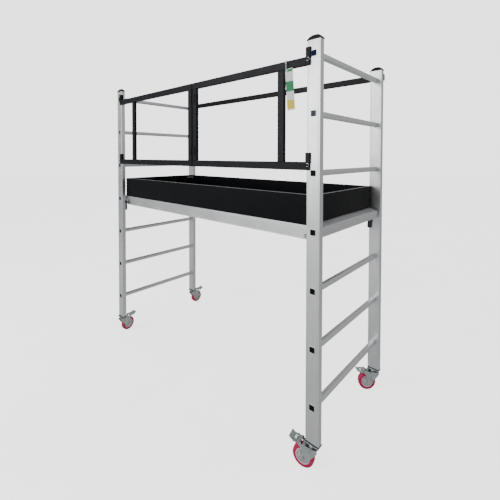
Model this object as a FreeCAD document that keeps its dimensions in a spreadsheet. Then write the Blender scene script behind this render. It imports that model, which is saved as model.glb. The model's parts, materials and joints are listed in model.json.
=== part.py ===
import FreeCAD, Part
import os

import Sketcher
from FreeCAD import Placement, Rotation, Vector

# A mobile work platform: two ladder frames on braked casters, a hooked-on deck with toe boards,
# a folding guard frame in front and a single rail behind.
# Frame: origin on the floor under the middle of the platform, +X along it to the right,
# +Y to the back rail, +Z up.

doc = FreeCAD.newDocument("mobile_platform")
sheet = doc.addObject("Spreadsheet::Sheet", "Sizes")

UPRIGHT = Rotation()
ALONG_Y = Rotation(Vector(1, 0, 0), 90)    # sketch across is X, sketch up is Z, pad runs to -Y


class Size:
    """A number with the spreadsheet expression that gives it."""

    def __init__(self, value, text):
        self.value = float(value)
        self.text = text

    def combine(self, other, sign, value):
        return Size(value, "(%s %s %s)" % (self.text, sign, other.text))

    def __add__(self, other):
        other = as_size(other)
        return self.combine(other, "+", self.value + other.value)

    def __sub__(self, other):
        other = as_size(other)
        return self.combine(other, "-", self.value - other.value)

    def __mul__(self, other):
        other = as_size(other)
        return self.combine(other, "*", self.value * other.value)

    def __truediv__(self, other):
        other = as_size(other)
        return self.combine(other, "/", self.value / other.value)

    def __neg__(self):
        return Size(0, "0") - self

    def __radd__(self, other):
        return as_size(other) + self

    def __rsub__(self, other):
        return as_size(other) - self

    def __rmul__(self, other):
        return as_size(other) * self


def as_size(amount):
    if isinstance(amount, Size):
        return amount
    return Size(amount, "%.6f" % amount)


row = 0


def size(alias, value, note):
    """Writes one driving size to the sheet and returns it."""
    global row
    row += 1
    sheet.set("A%d" % row, note)
    sheet.set("B%d" % row, repr(value))
    sheet.setAlias("B%d" % row, alias)
    return Size(value, "Sizes." + alias)


# ---------------------------------------------------------------- driving sizes

stile_spacing = size("stile_spacing", 1885, "between the two ladder frames, stile centre to stile centre")
frame_width = size("frame_width", 754, "between the two stiles of a frame, centre to centre")
stile_depth = size("stile_depth", 73, "stile section along X")
stile_thickness = size("stile_thickness", 31, "stile section along Y")
stile_wall = size("stile_wall", 2.2, "stile wall")
stile_groove_inset = size("stile_groove_inset", 9, "groove from the stile's edge")
stile_groove_width = size("stile_groove_width", 2, "width of a stile groove")
stile_groove_depth = size("stile_groove_depth", 0.9, "depth of a stile groove")
foot_margin = size("foot_margin", 173, "stile bottom to the lowest rung")
head_margin = size("head_margin", 64, "top rung to the stile top")
rung_pitch = size("rung_pitch", 280, "rung to rung")
rung_size = size("rung_size", 28, "rung section, both ways")
rung_corner = size("rung_corner", 5, "flat across a rung's corner")
rung_wall = size("rung_wall", 2, "rung wall")
rung_rib_width = size("rung_rib_width", 1.6, "width of a tread groove")
rung_rib_depth = size("rung_rib_depth", 0.8, "depth of a tread groove")
rung_fit = size("rung_fit", 0.1, "clearance round a rung in its stile")
plug_depth = size("plug_depth", 12, "length of a rung end plug")
plug_recess = size("plug_recess", 1.5, "plug face behind the rung's end")
plug_fit = size("plug_fit", 0.15, "clearance round a plug in its tube")
cap_overhang = size("cap_overhang", 4, "stile cap beyond the stile")
cap_rim = size("cap_rim", 6, "height of the cap's straight rim")
cap_crown = size("cap_crown", 19, "height of the cap's crown above the rim")
cap_spigot = size("cap_spigot", 25, "cap and foot plug length inside the stile")

wheel_radius = size("wheel_radius", 55, "wheel radius")
wheel_width = size("wheel_width", 34, "tyre width")
tyre_inner_radius = size("tyre_inner_radius", 41, "tyre inner radius")
tyre_shoulder = size("tyre_shoulder", 5, "tyre shoulder, across and in")
tyre_fit = size("tyre_fit", 0.05, "clearance between tyre and hub")
hub_overhang = size("hub_overhang", 1, "hub boss beyond the tyre's side")
hub_boss_radius = size("hub_boss_radius", 13, "hub boss radius")
hub_rim = size("hub_rim", 7, "hub rim thickness")
hub_recess = size("hub_recess", 9, "web face behind the tyre's side")
axle_radius = size("axle_radius", 5, "axle bolt radius")
running_fit = size("running_fit", 0.05, "radial clearance of a running bore")
caster_trail = size("caster_trail", 48, "swivel axis to axle")
tyre_headroom = size("tyre_headroom", 2, "tyre to the underside of the crown")
crown_thickness = size("crown_thickness", 5, "fork crown plate")
crown_radius = size("crown_radius", 26, "fork crown radius")
race_height = size("race_height", 12, "swivel race between crown and plate")
race_gap = size("race_gap", 0.5, "running gap in the swivel race")
race_radius = size("race_radius", 24, "swivel race radius")
kingpin_radius = size("kingpin_radius", 6, "kingpin radius")
kingpin_head_radius = size("kingpin_head_radius", 10, "kingpin rivet head radius")
kingpin_head = size("kingpin_head", 5, "kingpin rivet head height")
caster_plate_thickness = size("caster_plate_thickness", 5, "caster top plate")
caster_plate_width = size("caster_plate_width", 42, "caster top plate along Y")
foot_flange = size("foot_flange", 5, "foot plug flange")
leg_gap = size("leg_gap", 3, "wheel to fork leg")
leg_thickness = size("leg_thickness", 3.5, "fork leg plate")
bolt_head = size("bolt_head", 5.5, "hexagon head height")
axle_hex_radius = size("axle_hex_radius", 8.5, "axle bolt head, corner radius")
bolt_fit = size("bolt_fit", 0.2, "radial clearance of a bolt in its hole")
pedal_setback = size("pedal_setback", 16, "pedal pin behind the axle")
pedal_pin_rise = size("pedal_pin_rise", 3, "pedal pin above the crown")
pedal_pin_radius = size("pedal_pin_radius", 3, "pedal pin radius")
pedal_hub_radius = size("pedal_hub_radius", 5.5, "pedal hub radius")
pedal_width = size("pedal_width", 50, "pedal across the toe")
pedal_plate = size("pedal_plate", 2.7, "pedal sheet thickness")
pedal_side_gap = size("pedal_side_gap", 1, "pedal hub to fork leg")
shoe_half_width = size("shoe_half_width", 12, "half width of the brake shoe")
plate_bolt_offset = size("plate_bolt_offset", 30.5, "caster plate bolt from the swivel axis")
plate_bolt_radius = size("plate_bolt_radius", 3, "caster plate bolt radius")
plate_hex_radius = size("plate_hex_radius", 5.2, "caster plate bolt head, corner radius")

yaw = {
    "front_left": size("yaw_front_left", -84, "caster turned about its swivel, degrees"),
    "front_right": size("yaw_front_right", 10, "caster turned about its swivel, degrees"),
    "back_left": size("yaw_back_left", -92, "caster turned about its swivel, degrees"),
    "back_right": size("yaw_back_right", 42, "caster turned about its swivel, degrees"),
}

deck_rung = size("deck_rung", 4, "rung that carries the platform, counted from the top")
hook_plate = size("hook_plate", 3.5, "hook plate over the rung")
hook_lift_fit = size("hook_lift_fit", 0.3, "hook plate above the rung")
hook_side_fit = size("hook_side_fit", 6, "hook skirt beyond the rung")
hook_bevel = size("hook_bevel", 4, "bevel of the hook's outer shoulder")
skirt_thickness = size("skirt_thickness", 3, "hook skirt")
skirt_drop = size("skirt_drop", 46, "skirt bottom below the deck top")
skirt_groove_pitch = size("skirt_groove_pitch", 5, "between the grooves of the skirt")
skirt_groove_depth = size("skirt_groove_depth", 1, "depth of a skirt or shoulder groove")
skirt_groove_width = size("skirt_groove_width", 1.6, "width of a skirt or shoulder groove")
shoulder_rise = size("shoulder_rise", 17, "beam's shoulder above the deck top")
shoulder_wall = size("shoulder_wall", 2.5, "wall of the hollow shoulder")
shoulder_fit = size("shoulder_fit", 0.5, "shoulder to the long toe boards")
beam_web = size("beam_web", 3, "end beam's inner web")
beam_web_inset = size("beam_web_inset", 32, "web face to the rung's side")
beam_end_gap = size("beam_end_gap", 13.5, "end beam to the stile's inner face")
side_rail_height = size("side_rail_height", 70, "platform side rail height")
side_rail_thickness = size("side_rail_thickness", 25, "platform side rail thickness")
side_rail_wall = size("side_rail_wall", 2, "platform side rail wall")
side_rail_gap = size("side_rail_gap", 16.5, "side rail to the stile's inner face")
deck_thickness = size("deck_thickness", 10, "deck board")
deck_fit = size("deck_fit", 0.5, "clearance round the deck board")
cross_count = 4
cross_width = size("cross_width", 40, "cross member along X")
cross_height = size("cross_height", 20, "cross member height")
toe_height = size("toe_height", 153, "toe board height")
toe_thickness = size("toe_thickness", 15, "toe board thickness")
toe_setback = size("toe_setback", 3.5, "toe board's outer face to the rung's inner side")
corner_leg = size("corner_leg", 42, "corner bracket leg")
corner_plate = size("corner_plate", 3, "corner bracket thickness")
corner_height = size("corner_height", 18, "corner bracket height")
corner_drop = size("corner_drop", 14, "corner bracket below the toe board's top")

catch_pivot_inset = size("catch_pivot_inset", 18, "catch pivot inside the rail's end")
catch_pivot_drop = size("catch_pivot_drop", 53, "catch pivot below the deck top")
catch_plate = size("catch_plate", 5, "catch thickness")
catch_spacer = size("catch_spacer", 5.2, "spacer between rail and catch")
catch_rung_fit = size("catch_rung_fit", 0.5, "catch nose below the rung")
catch_nose = size("catch_nose", 82, "pivot to the catch's nose")
catch_handle = size("catch_handle", 66, "pivot to the handle's end")
stud_radius = size("stud_radius", 4, "catch stud radius")
stud_head_radius = size("stud_head_radius", 8, "catch stud head radius")
stud_head = size("stud_head", 2.6, "catch stud head height")

guard_tube = size("guard_tube", 40, "guard tube, visible face")
guard_tube_depth = size("guard_tube_depth", 20, "guard tube along Y")
guard_wall = size("guard_wall", 1.5, "guard tube wall")
guard_top = size("guard_top", 1961, "top guard rail's centre height")
guard_bottom = size("guard_bottom", 1465, "lower guard rail's centre height")
guard_proud = size("guard_proud", 7.5, "guard tube's front beyond the stile's front")
guard_end_gap = size("guard_end_gap", 4, "guard rail end to the stile's side")
left_post_inset = size("left_post_inset", 205, "left end post's centre to the stile's side")
right_post_inset = size("right_post_inset", 150, "right end post's centre to the stile's side")
guard_fold_x = size("guard_fold_x", 46, "fold line along X")
guard_fold_gap = size("guard_fold_gap", 8, "between the two middle posts")
back_rail_height = size("back_rail_height", 2016, "back rail's centre height")
bracket_width = size("bracket_width", 21.5, "guard bracket on the stile's front")
bracket_tail_width = size("bracket_tail_width", 18, "lower part of a guard bracket")
bracket_thickness = size("bracket_thickness", 9, "guard bracket beyond the stile's front")
bracket_rise = size("bracket_rise", 64, "guard bracket above the rail's centre")
bracket_step = size("bracket_step", 14, "step of the bracket above the rail's centre")
bracket_fall = size("bracket_fall", 20, "guard bracket below the rail's centre")
bracket_sheet = size("bracket_sheet", 3, "bracket web and tongue")
tongue_length = size("tongue_length", 34, "bracket tongue behind the rail")
tongue_half_height = size("tongue_half_height", 15, "half height of the tongue")
tongue_fit = size("tongue_fit", 0.3, "rail to tongue")
bracket_bolt_inset = size("bracket_bolt_inset", 9.5, "bracket bolt from the stile's side")
bracket_bolt_rise = size("bracket_bolt_rise", 6, "bracket bolt above the rail's centre")
frame_bolt_radius = size("frame_bolt_radius", 4, "frame bolt radius")
frame_hex_radius = size("frame_hex_radius", 7, "frame bolt head, corner radius")
back_bolt_spread = size("back_bolt_spread", 22, "back rail bolt from the stile's centre")

hinge_offset = size("hinge_offset", 80, "hinge from the guard rail's centre")
hinge_leaf = size("hinge_leaf", 26, "hinge leaf along X")
hinge_sheet = size("hinge_sheet", 3, "hinge leaf thickness")
hinge_height = size("hinge_height", 50, "hinge leaf height")
knuckle_radius = size("knuckle_radius", 5, "hinge knuckle radius")
knuckle_middle = size("knuckle_middle", 20, "middle knuckle height")
knuckle_gap = size("knuckle_gap", 0.4, "between knuckles")
hinge_pin_radius = size("hinge_pin_radius", 2.5, "hinge pin radius")
hinge_pin_stand = size("hinge_pin_stand", 4.5, "hinge pin in front of the guard tube")

tag_width = size("tag_width", 45, "hang tag width")
tag_height = size("tag_height", 205, "hang tag height")
tag_thickness = size("tag_thickness", 1, "hang tag thickness")
tag_x = size("tag_x", 795, "tag eyelet along X")
tag_eyelet_side = size("tag_eyelet_side", 9, "eyelet from the tag's left edge")
tag_eyelet_drop = size("tag_eyelet_drop", 6, "eyelet below the tag's top")
tag_eyelet_radius = size("tag_eyelet_radius", 3, "eyelet radius")
tag_rail_gap = size("tag_rail_gap", 1.5, "tag's top below the rail")
tag_stand = size("tag_stand", 3, "tag in front of the rail")
tie_width = size("tie_width", 2.4, "tie width")
tie_thickness = size("tie_thickness", 1.2, "tie thickness")
tie_fit = size("tie_fit", 0.3, "tie round the rail")
tie_seat = size("tie_seat", 1.2, "eyelet's top to the tie in it")
tie_stand = size("tie_stand", 8.8, "tie's front from the rail's front")

doc.recompute()

# ---------------------------------------------------------------- derived places

crown_bottom = wheel_radius * 2 + tyre_headroom
crown_top = crown_bottom + crown_thickness
plate_bottom = crown_top + race_height
plate_top = plate_bottom + caster_plate_thickness
stile_bottom = plate_top + foot_flange
rung_count = 7
stile_length = foot_margin + rung_pitch * (rung_count - 1) + head_margin
stile_top = stile_bottom + stile_length
half_spacing = stile_spacing / 2
half_width = frame_width / 2
stile_inner_x = half_spacing - stile_depth / 2
stile_inner_y = half_width - stile_thickness / 2
stile_outer_x = half_spacing + stile_depth / 2
stile_outer_y = half_width + stile_thickness / 2
rung_half = rung_size / 2

deck_rung_height = stile_bottom + foot_margin + rung_pitch * (rung_count - deck_rung)
deck_top = deck_rung_height + rung_half + hook_lift_fit + hook_plate
rail_end = half_spacing - rung_half - beam_web_inset
rail_outer_y = stile_inner_y - side_rail_gap
rail_inner_y = rail_outer_y - side_rail_thickness
toe_outer_x = half_spacing - rung_half - toe_setback
toe_top = deck_top + toe_height

guard_front = stile_outer_y + guard_proud
guard_back = guard_front - guard_tube_depth
fold_left = guard_fold_x - guard_fold_gap / 2
fold_right = guard_fold_x + guard_fold_gap / 2

SIDES = (("left", -1), ("right", 1))
FACES = (("front", -1), ("back", 1))
CORNERS = [(face + "_" + side, sx, sy) for face, sy in FACES for side, sx in SIDES]


# ---------------------------------------------------------------- building blocks

def bind(piece, name, amount):
    """Sets a property from a size and keeps it tied to the sheet."""
    piece.setExpression(name, as_size(amount).text)


def put(piece, x, y, z, turn=UPRIGHT):
    """Places a piece, with its base tied to the sheet."""
    place = [as_size(amount) for amount in (x, y, z)]
    piece.Placement = Placement(Vector(*[amount.value for amount in place]), turn)
    for axis, amount in zip("xyz", place):
        bind(piece, "Placement.Base." + axis, amount)
    return piece


def block(name, x, y, z):
    """A box between two values on each axis; each argument is a (low, high) pair."""
    piece = doc.addObject("Part::Box", name)
    for side, (low, high) in zip(("Length", "Width", "Height"), (x, y, z)):
        bind(piece, side, as_size(high) - low)
    return put(piece, x[0], y[0], z[0])


def mirrored(sign, low, high):
    """A (low, high) pair on the positive side, or its mirror image."""
    if sign > 0:
        return (as_size(low), as_size(high))
    return (-as_size(high), -as_size(low))


def rod(name, radius, length, x, y, z, turn=UPRIGHT):
    """A round rod that starts at a point and runs up, or along the turned axis."""
    piece = doc.addObject("Part::Cylinder", name)
    bind(piece, "Radius", radius)
    bind(piece, "Height", length)
    return put(piece, x, y, z, turn)


def hexagon(name, radius, length, x, y, z, turn=UPRIGHT):
    piece = doc.addObject("Part::Prism", name)
    piece.Polygon = 6
    bind(piece, "Circumradius", radius)
    bind(piece, "Height", length)
    return put(piece, x, y, z, turn)


def fuse(name, pieces):
    piece = doc.addObject("Part::MultiFuse", name)
    piece.Shapes = pieces
    return piece


def cut(name, base, tools):
    piece = doc.addObject("Part::Cut", name)
    piece.Base = base
    piece.Tool = tools[0] if len(tools) == 1 else fuse(name + "_tools", tools)
    return piece


def group(name, pieces):
    piece = doc.addObject("Part::Compound", name)
    piece.Links = pieces
    return piece


def origin_feature(body, role):
    return [feature for feature in body.Origin.OriginFeatures if feature.Role == role][0]


def add_outline(sketch, corners):
    """Adds one closed loop of straight lines with every corner tied to the sheet."""
    corners = [(as_size(across), as_size(up)) for across, up in corners]
    first = sketch.GeometryCount
    points = [Vector(across.value, up.value, 0) for across, up in corners]
    for here, there in zip(points, points[1:] + points[:1]):
        sketch.addGeometry(Part.LineSegment(here, there), False)
    count = len(corners)
    for index, corner in enumerate(corners):
        line = first + index
        after = first + (index + 1) % count
        sketch.addConstraint(Sketcher.Constraint("Coincident", line, 2, after, 1))
        for kind, axis, amount in (("DistanceX", -2, corner[0]), ("DistanceY", -1, corner[1])):
            if abs(amount.value) < 1e-9:
                sketch.addConstraint(Sketcher.Constraint("PointOnObject", line, 1, axis))
                continue
            number = sketch.addConstraint(Sketcher.Constraint(kind, -1, 1, line, 1, amount.value))
            sketch.setExpression("Constraints[%d]" % number, amount.text)


def sketch_in(body, name, outlines, role="XY_Plane"):
    sketch = body.newObject("Sketcher::SketchObject", name)
    sketch.AttachmentSupport = (origin_feature(body, role), [""])
    sketch.MapMode = "FlatFace"
    for corners in outlines:
        add_outline(sketch, corners)
    return sketch


def pad_in(body, name, sketch, length, symmetric=False):
    pad = body.newObject("PartDesign::Pad", name)
    pad.Profile = sketch
    if symmetric:
        pad.SideType = "Symmetric"
    bind(pad, "Length", length)
    return pad


def column_in(body, name, feature):
    """Repeats a feature at every rung."""
    pattern = body.newObject("PartDesign::LinearPattern", name)
    pattern.Originals = [feature]
    pattern.Direction = (origin_feature(body, "Z_Axis"), [""])
    bind(pattern, "Length", rung_pitch * (rung_count - 1))
    pattern.Occurrences = rung_count
    body.Tip = pattern
    return pattern


def extrusion(name, outlines, length, turn, x, y, z):
    """A straight length of one section."""
    body = doc.addObject("PartDesign::Body", name)
    sketch = sketch_in(body, name + "_section", outlines)
    pad_in(body, name + "_pad", sketch, length)
    return put(body, x, y, z, turn)


def turned(name, outline, x, y, z):
    """A section of (radius, across) corners revolved about an axle along Y."""
    body = doc.addObject("PartDesign::Body", name)
    sketch = sketch_in(body, name + "_section", [outline])
    revolution = body.newObject("PartDesign::Revolution", name + "_turned")
    revolution.Profile = sketch
    revolution.ReferenceAxis = (sketch, ["V_Axis"])
    revolution.Angle = 360
    return put(body, x, y, z)


def rectangle(half_across, half_up, centre_up=0):
    return [
        (-half_across, centre_up - half_up),
        (half_across, centre_up - half_up),
        (half_across, centre_up + half_up),
        (-half_across, centre_up + half_up),
    ]


def tube(name, x, y, z, wall, open_axis):
    """A rectangular tube, open at both ends along one axis."""
    spans = {"x": x, "y": y, "z": z}
    inner = {}
    for axis, (low, high) in spans.items():
        if axis == open_axis:
            inner[axis] = (as_size(low) - wall, as_size(high) + wall)
        else:
            inner[axis] = (as_size(low) + wall, as_size(high) - wall)
    outside = block(name + "_outside", x, y, z)
    inside = block(name + "_inside", inner["x"], inner["y"], inner["z"])
    return cut(name, outside, [inside])


# ---------------------------------------------------------------- ladder frames

def rung_outline(centre_up, grow, ribbed):
    """A square with flat corners; a ribbed one has tread grooves along its top."""
    half = rung_half + grow
    flat = rung_corner
    outline = [
        (-half, centre_up - half + flat),
        (-half + flat, centre_up - half),
        (half - flat, centre_up - half),
        (half, centre_up - half + flat),
        (half, centre_up + half - flat),
        (half - flat, centre_up + half),
    ]
    grooves = 3 if ribbed else 0
    for index in range(grooves):
        middle = rung_rib_width * 2.6 * (1 - index)
        right = middle + rung_rib_width / 2
        left = middle - rung_rib_width / 2
        top = centre_up + half
        outline += [(right, top), (right, top - rung_rib_depth), (left, top - rung_rib_depth), (left, top)]
    outline += [(-half + flat, centre_up + half), (-half, centre_up + half - flat)]
    return outline


def stile_outline():
    """The stile's outside with two grooves in each broad face."""
    half_x = stile_depth / 2
    half_y = stile_thickness / 2
    face = [(-half_x, -half_y)]
    for sign in (-1, 1):
        middle = (half_x - stile_groove_inset) * sign
        low = middle - stile_groove_width / 2
        high = middle + stile_groove_width / 2
        floor = -half_y + stile_groove_depth
        face += [(low, -half_y), (low, floor), (high, floor), (high, -half_y)]
    face.append((half_x, -half_y))
    return face + [(-across, -up) for across, up in face]


def stile(name, sx, sy):
    body = doc.addObject("PartDesign::Body", name)
    hollow = rectangle(stile_depth / 2 - stile_wall, stile_thickness / 2 - stile_wall)
    section = sketch_in(body, name + "_section", [stile_outline(), hollow])
    pad_in(body, name + "_pad", section, stile_length)
    hole = sketch_in(body, name + "_hole", [rung_outline(foot_margin, rung_fit, False)], "XZ_Plane")
    pocket = body.newObject("PartDesign::Pocket", name + "_pocket")
    pocket.Profile = hole
    pocket.SideType = "Symmetric"
    bind(pocket, "Length", stile_thickness * 2)
    column_in(body, name + "_holes", pocket)
    return put(body, half_spacing * sx, half_width * sy, stile_bottom)


def rungs(name, sx):
    body = doc.addObject("PartDesign::Body", name)
    inside = rung_outline(foot_margin, -rung_wall, False)
    section = sketch_in(body, name + "_section", [rung_outline(foot_margin, 0, True), inside], "XZ_Plane")
    pad = pad_in(body, name + "_pad", section, stile_outer_y * 2, symmetric=True)
    column_in(body, name + "_column", pad)
    return put(body, half_spacing * sx, 0, stile_bottom)


def rung_end_plugs():
    """Plugs in both ends of the three upper rungs of each frame."""
    section = rung_outline(0, -(rung_wall + plug_fit), False)
    outer = stile_outer_y - plug_recess
    plugs = []
    for corner, sx, sy in CORNERS:
        for index in range(3):
            height = stile_top - head_margin - rung_pitch * index
            start = outer if sy > 0 else plug_depth - outer
            name = "rung_plug_%s_%d" % (corner, index)
            plugs.append(extrusion(name, [section], plug_depth, ALONG_Y, half_spacing * sx, start, height))
    return group("rung_end_plugs", plugs)


def stile_inside(name, sx, sy, low, high):
    """A block that fills the stile's hollow between two heights."""
    half_x = stile_depth / 2 - stile_wall - plug_fit
    half_y = stile_thickness / 2 - stile_wall - plug_fit
    x = half_spacing * sx
    y = half_width * sy
    return block(name, (x - half_x, x + half_x), (y - half_y, y + half_y), (low, high))


def stile_cap(corner, sx, sy):
    x = half_spacing * sx
    y = half_width * sy
    half_x = stile_depth / 2 + cap_overhang
    half_y = stile_thickness / 2 + cap_overhang
    rim_top = stile_top + cap_rim
    across = (x - half_x, x + half_x)
    along = (y - half_y, y + half_y)
    rim = block("cap_rim_" + corner, across, along, (stile_top, rim_top))
    crown = doc.addObject("Part::Wedge", "cap_crown_" + corner)
    bind(crown, "Xmin", -half_x)
    bind(crown, "Xmax", half_x)
    bind(crown, "Ymin", 0)
    bind(crown, "Ymax", cap_crown)
    bind(crown, "Zmin", -half_y)
    bind(crown, "Zmax", half_y)
    bind(crown, "X2min", -half_x / 3)
    bind(crown, "X2max", half_x / 3)
    bind(crown, "Z2min", -half_y / 3)
    bind(crown, "Z2max", half_y / 3)
    put(crown, x, y, rim_top, Rotation(Vector(1, 0, 0), 90))
    spigot = stile_inside("cap_spigot_" + corner, sx, sy, stile_top - cap_spigot, stile_top)
    return fuse("stile_cap_" + corner, [rim, crown, spigot])


def foot_plug(corner, sx, sy):
    x = half_spacing * sx
    y = half_width * sy
    half_x = stile_depth / 2
    half_y = stile_thickness / 2
    flange = block(
        "foot_flange_" + corner, (x - half_x, x + half_x), (y - half_y, y + half_y), (plate_top, stile_bottom)
    )
    spigot = stile_inside("foot_spigot_" + corner, sx, sy, stile_bottom, stile_bottom + cap_spigot)
    solid = fuse("foot_solid_" + corner, [flange, spigot])
    return cut("foot_plug_" + corner, solid, plate_bolt_holes(corner, sx, sy, "plug"))


# ---------------------------------------------------------------- casters

PLATE_BOLTS = (-1, 1)


def plate_bolt_holes(corner, sx, sy, owner):
    """Cutters for the two bolts that hold a caster plate to its foot plug."""
    holes = []
    for sign in PLATE_BOLTS:
        x = half_spacing * sx + plate_bolt_offset * sign
        name = "%s_hole_%s_%d" % (owner, corner, sign)
        depth = caster_plate_thickness + foot_flange + cap_spigot
        holes.append(rod(name, plate_bolt_radius + bolt_fit, depth, x, half_width * sy, plate_bottom - 1))
    return holes


def caster_plate(corner, sx, sy):
    x = half_spacing * sx
    y = half_width * sy
    half_x = stile_depth / 2
    half_y = caster_plate_width / 2
    plate = block(
        "plate_" + corner, (x - half_x, x + half_x), (y - half_y, y + half_y), (plate_bottom, plate_top)
    )
    plate = cut("plate_drilled_" + corner, plate, plate_bolt_holes(corner, sx, sy, "plate"))
    cup_bottom = crown_top + race_height / 2 + race_gap
    cup = rod("race_cup_" + corner, race_radius, plate_bottom - cup_bottom, x, y, cup_bottom)
    head_top = crown_bottom - race_gap
    pin_bottom = head_top - kingpin_head
    pin = rod("kingpin_" + corner, kingpin_radius, plate_bottom - pin_bottom, x, y, pin_bottom)
    head = rod("kingpin_head_" + corner, kingpin_head_radius, kingpin_head, x, y, pin_bottom)
    return fuse("caster_plate_" + corner, [plate, cup, pin, head])


def plate_bolts(corner, sx, sy):
    bolts = []
    shank = caster_plate_thickness + foot_flange + cap_spigot - 6
    for sign in PLATE_BOLTS:
        x = half_spacing * sx + plate_bolt_offset * sign
        y = half_width * sy
        name = "plate_bolt_%s_%d" % (corner, sign)
        head = hexagon(name + "_head", plate_hex_radius, bolt_head, x, y, plate_bottom - bolt_head)
        body = rod(name + "_shank", plate_bolt_radius, shank, x, y, plate_bottom)
        bolts.append(fuse(name, [head, body]))
    return bolts


def turn_with_caster(piece, corner, sx, sy):
    """Moves a piece drawn about the swivel axis to its corner, at the caster's yaw."""
    put(piece, half_spacing * sx, half_width * sy, 0, Rotation(Vector(0, 0, 1), yaw[corner].value))
    bind(piece, "Placement.Rotation.Angle", yaw[corner])
    return piece


def fork(corner, sx, sy):
    name = "caster_fork_" + corner
    inner = wheel_width / 2 + leg_gap
    outer = inner + leg_thickness
    axle_x = -caster_trail
    axle_z = wheel_radius
    ear_top = crown_top + pedal_pin_rise * 3
    ear_back = axle_x - pedal_setback - 8
    ear_front = axle_x - pedal_setback + 10
    outline = [
        (ear_back, ear_top - 4),
        (ear_back, crown_bottom + 1),
        (axle_x - 11, crown_bottom - 12),
        (axle_x - 11, axle_z - 15),
        (axle_x - 5, axle_z - 22),
        (axle_x + 16, axle_z - 22),
        (axle_x + 24, axle_z - 15),
        (crown_radius, crown_bottom - 8),
        (crown_radius, crown_top),
        (ear_front, crown_top),
        (ear_front, ear_top),
        (ear_back + 4, ear_top),
    ]
    crown = block(name + "_crown", (axle_x - 2, 0), (-outer, outer), (crown_bottom, crown_top))
    disc = rod(name + "_disc", crown_radius, crown_thickness, 0, 0, crown_bottom)
    race = rod(name + "_race", race_radius, race_height / 2, 0, 0, crown_top)
    legs = [
        extrusion(name + "_leg_near", [outline], leg_thickness, ALONG_Y, 0, -inner, 0),
        extrusion(name + "_leg_far", [outline], leg_thickness, ALONG_Y, 0, outer, 0),
    ]
    pin_x = axle_x - pedal_setback
    pin_z = crown_top + pedal_pin_rise
    pin = rod(name + "_pin", pedal_pin_radius, outer * 2, pin_x, outer, pin_z, ALONG_Y)
    solid = fuse(name + "_solid", [crown, disc, race, pin] + legs)
    bore_bottom = crown_bottom - race_height
    swivel_bore = rod(name + "_swivel_bore", kingpin_radius + running_fit, race_height * 3, 0, 0, bore_bottom)
    axle_bore = rod(
        name + "_axle_bore", axle_radius + bolt_fit, outer * 3, axle_x, outer * 1.5, axle_z, ALONG_Y
    )
    return turn_with_caster(cut(name, solid, [swivel_bore, axle_bore]), corner, sx, sy)


def tyre(corner, sx, sy):
    name = "wheel_tyre_" + corner
    half = wheel_width / 2
    section = [
        (tyre_inner_radius, -half),
        (wheel_radius - tyre_shoulder, -half),
        (wheel_radius, -half + tyre_shoulder),
        (wheel_radius, half - tyre_shoulder),
        (wheel_radius - tyre_shoulder, half),
        (tyre_inner_radius, half),
    ]
    ring = turned(name + "_ring", section, -caster_trail, 0, wheel_radius)
    return turn_with_caster(group(name, [ring]), corner, sx, sy)


def hub(corner, sx, sy):
    name = "wheel_hub_" + corner
    half = wheel_width / 2
    bore = axle_radius + running_fit
    rim = tyre_inner_radius - tyre_fit
    side = half - 1.5
    web = half - hub_recess
    half_section = [
        (bore, -half - hub_overhang),
        (hub_boss_radius, -half - hub_overhang),
        (hub_boss_radius, -web),
        (rim - hub_rim, -web),
        (rim - hub_rim, -side),
        (rim, -side),
    ]
    section = half_section + [(radius, -across) for radius, across in reversed(half_section)]
    disc = turned(name + "_disc", section, -caster_trail, 0, wheel_radius)
    return turn_with_caster(group(name, [disc]), corner, sx, sy)


def axle_bolt(corner, sx, sy):
    name = "axle_bolt_" + corner
    outer = wheel_width / 2 + leg_gap + leg_thickness
    x = -caster_trail
    z = wheel_radius
    shank = rod(name + "_shank", axle_radius, outer * 2, x, outer, z, ALONG_Y)
    head = hexagon(name + "_head", axle_hex_radius, bolt_head, x, -outer, z, ALONG_Y)
    nut = hexagon(name + "_nut", axle_hex_radius, bolt_head, x, outer + bolt_head, z, ALONG_Y)
    return turn_with_caster(fuse(name, [shank, head, nut]), corner, sx, sy)


def pedal(corner, sx, sy):
    name = "brake_pedal_" + corner
    inner = wheel_width / 2 + leg_gap - pedal_side_gap
    half = pedal_width / 2
    pin_x = -caster_trail - pedal_setback
    pin_z = crown_top + pedal_pin_rise
    under_top = 3.8
    top = [(-11, pedal_plate + under_top), (-34, 3), (-42, 5), (-53, 15)]
    under = [(-55, 13), (-43, 5 - pedal_plate), (-34, 3 - pedal_plate), (-11, under_top)]
    toe_outline = [(pin_x + across, pin_z + up) for across, up in top + under]
    toe = extrusion(name + "_toe", [toe_outline], pedal_width, ALONG_Y, 0, half, 0)
    arm_low = pin_z + under_top
    arm = block(name + "_arm", (pin_x - 13, pin_x + 2), (-inner, inner), (arm_low, arm_low + pedal_plate))
    eye = rod(name + "_eye", pedal_hub_radius, inner * 2, pin_x, inner, pin_z, ALONG_Y)
    shoe_y = (-shoe_half_width, shoe_half_width)
    shoe = block(name + "_shoe", (pin_x - 18, pin_x - 10), shoe_y, (pin_z - 12.5, pin_z + 4))
    cheek_x = (pin_x - 36, pin_x - 11)
    cheek_z = (pin_z - 5, pin_z + 2)
    cheeks = [
        block(name + "_cheek_near", cheek_x, (-half, -half + pedal_plate), cheek_z),
        block(name + "_cheek_far", cheek_x, (half - pedal_plate, half), cheek_z),
    ]
    solid = fuse(name + "_solid", [toe, arm, eye, shoe] + cheeks)
    bore = rod(name + "_bore", pedal_pin_radius + running_fit, half * 3, pin_x, half * 1.5, pin_z, ALONG_Y)
    return turn_with_caster(cut(name, solid, [bore]), corner, sx, sy)


# ---------------------------------------------------------------- platform

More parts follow.
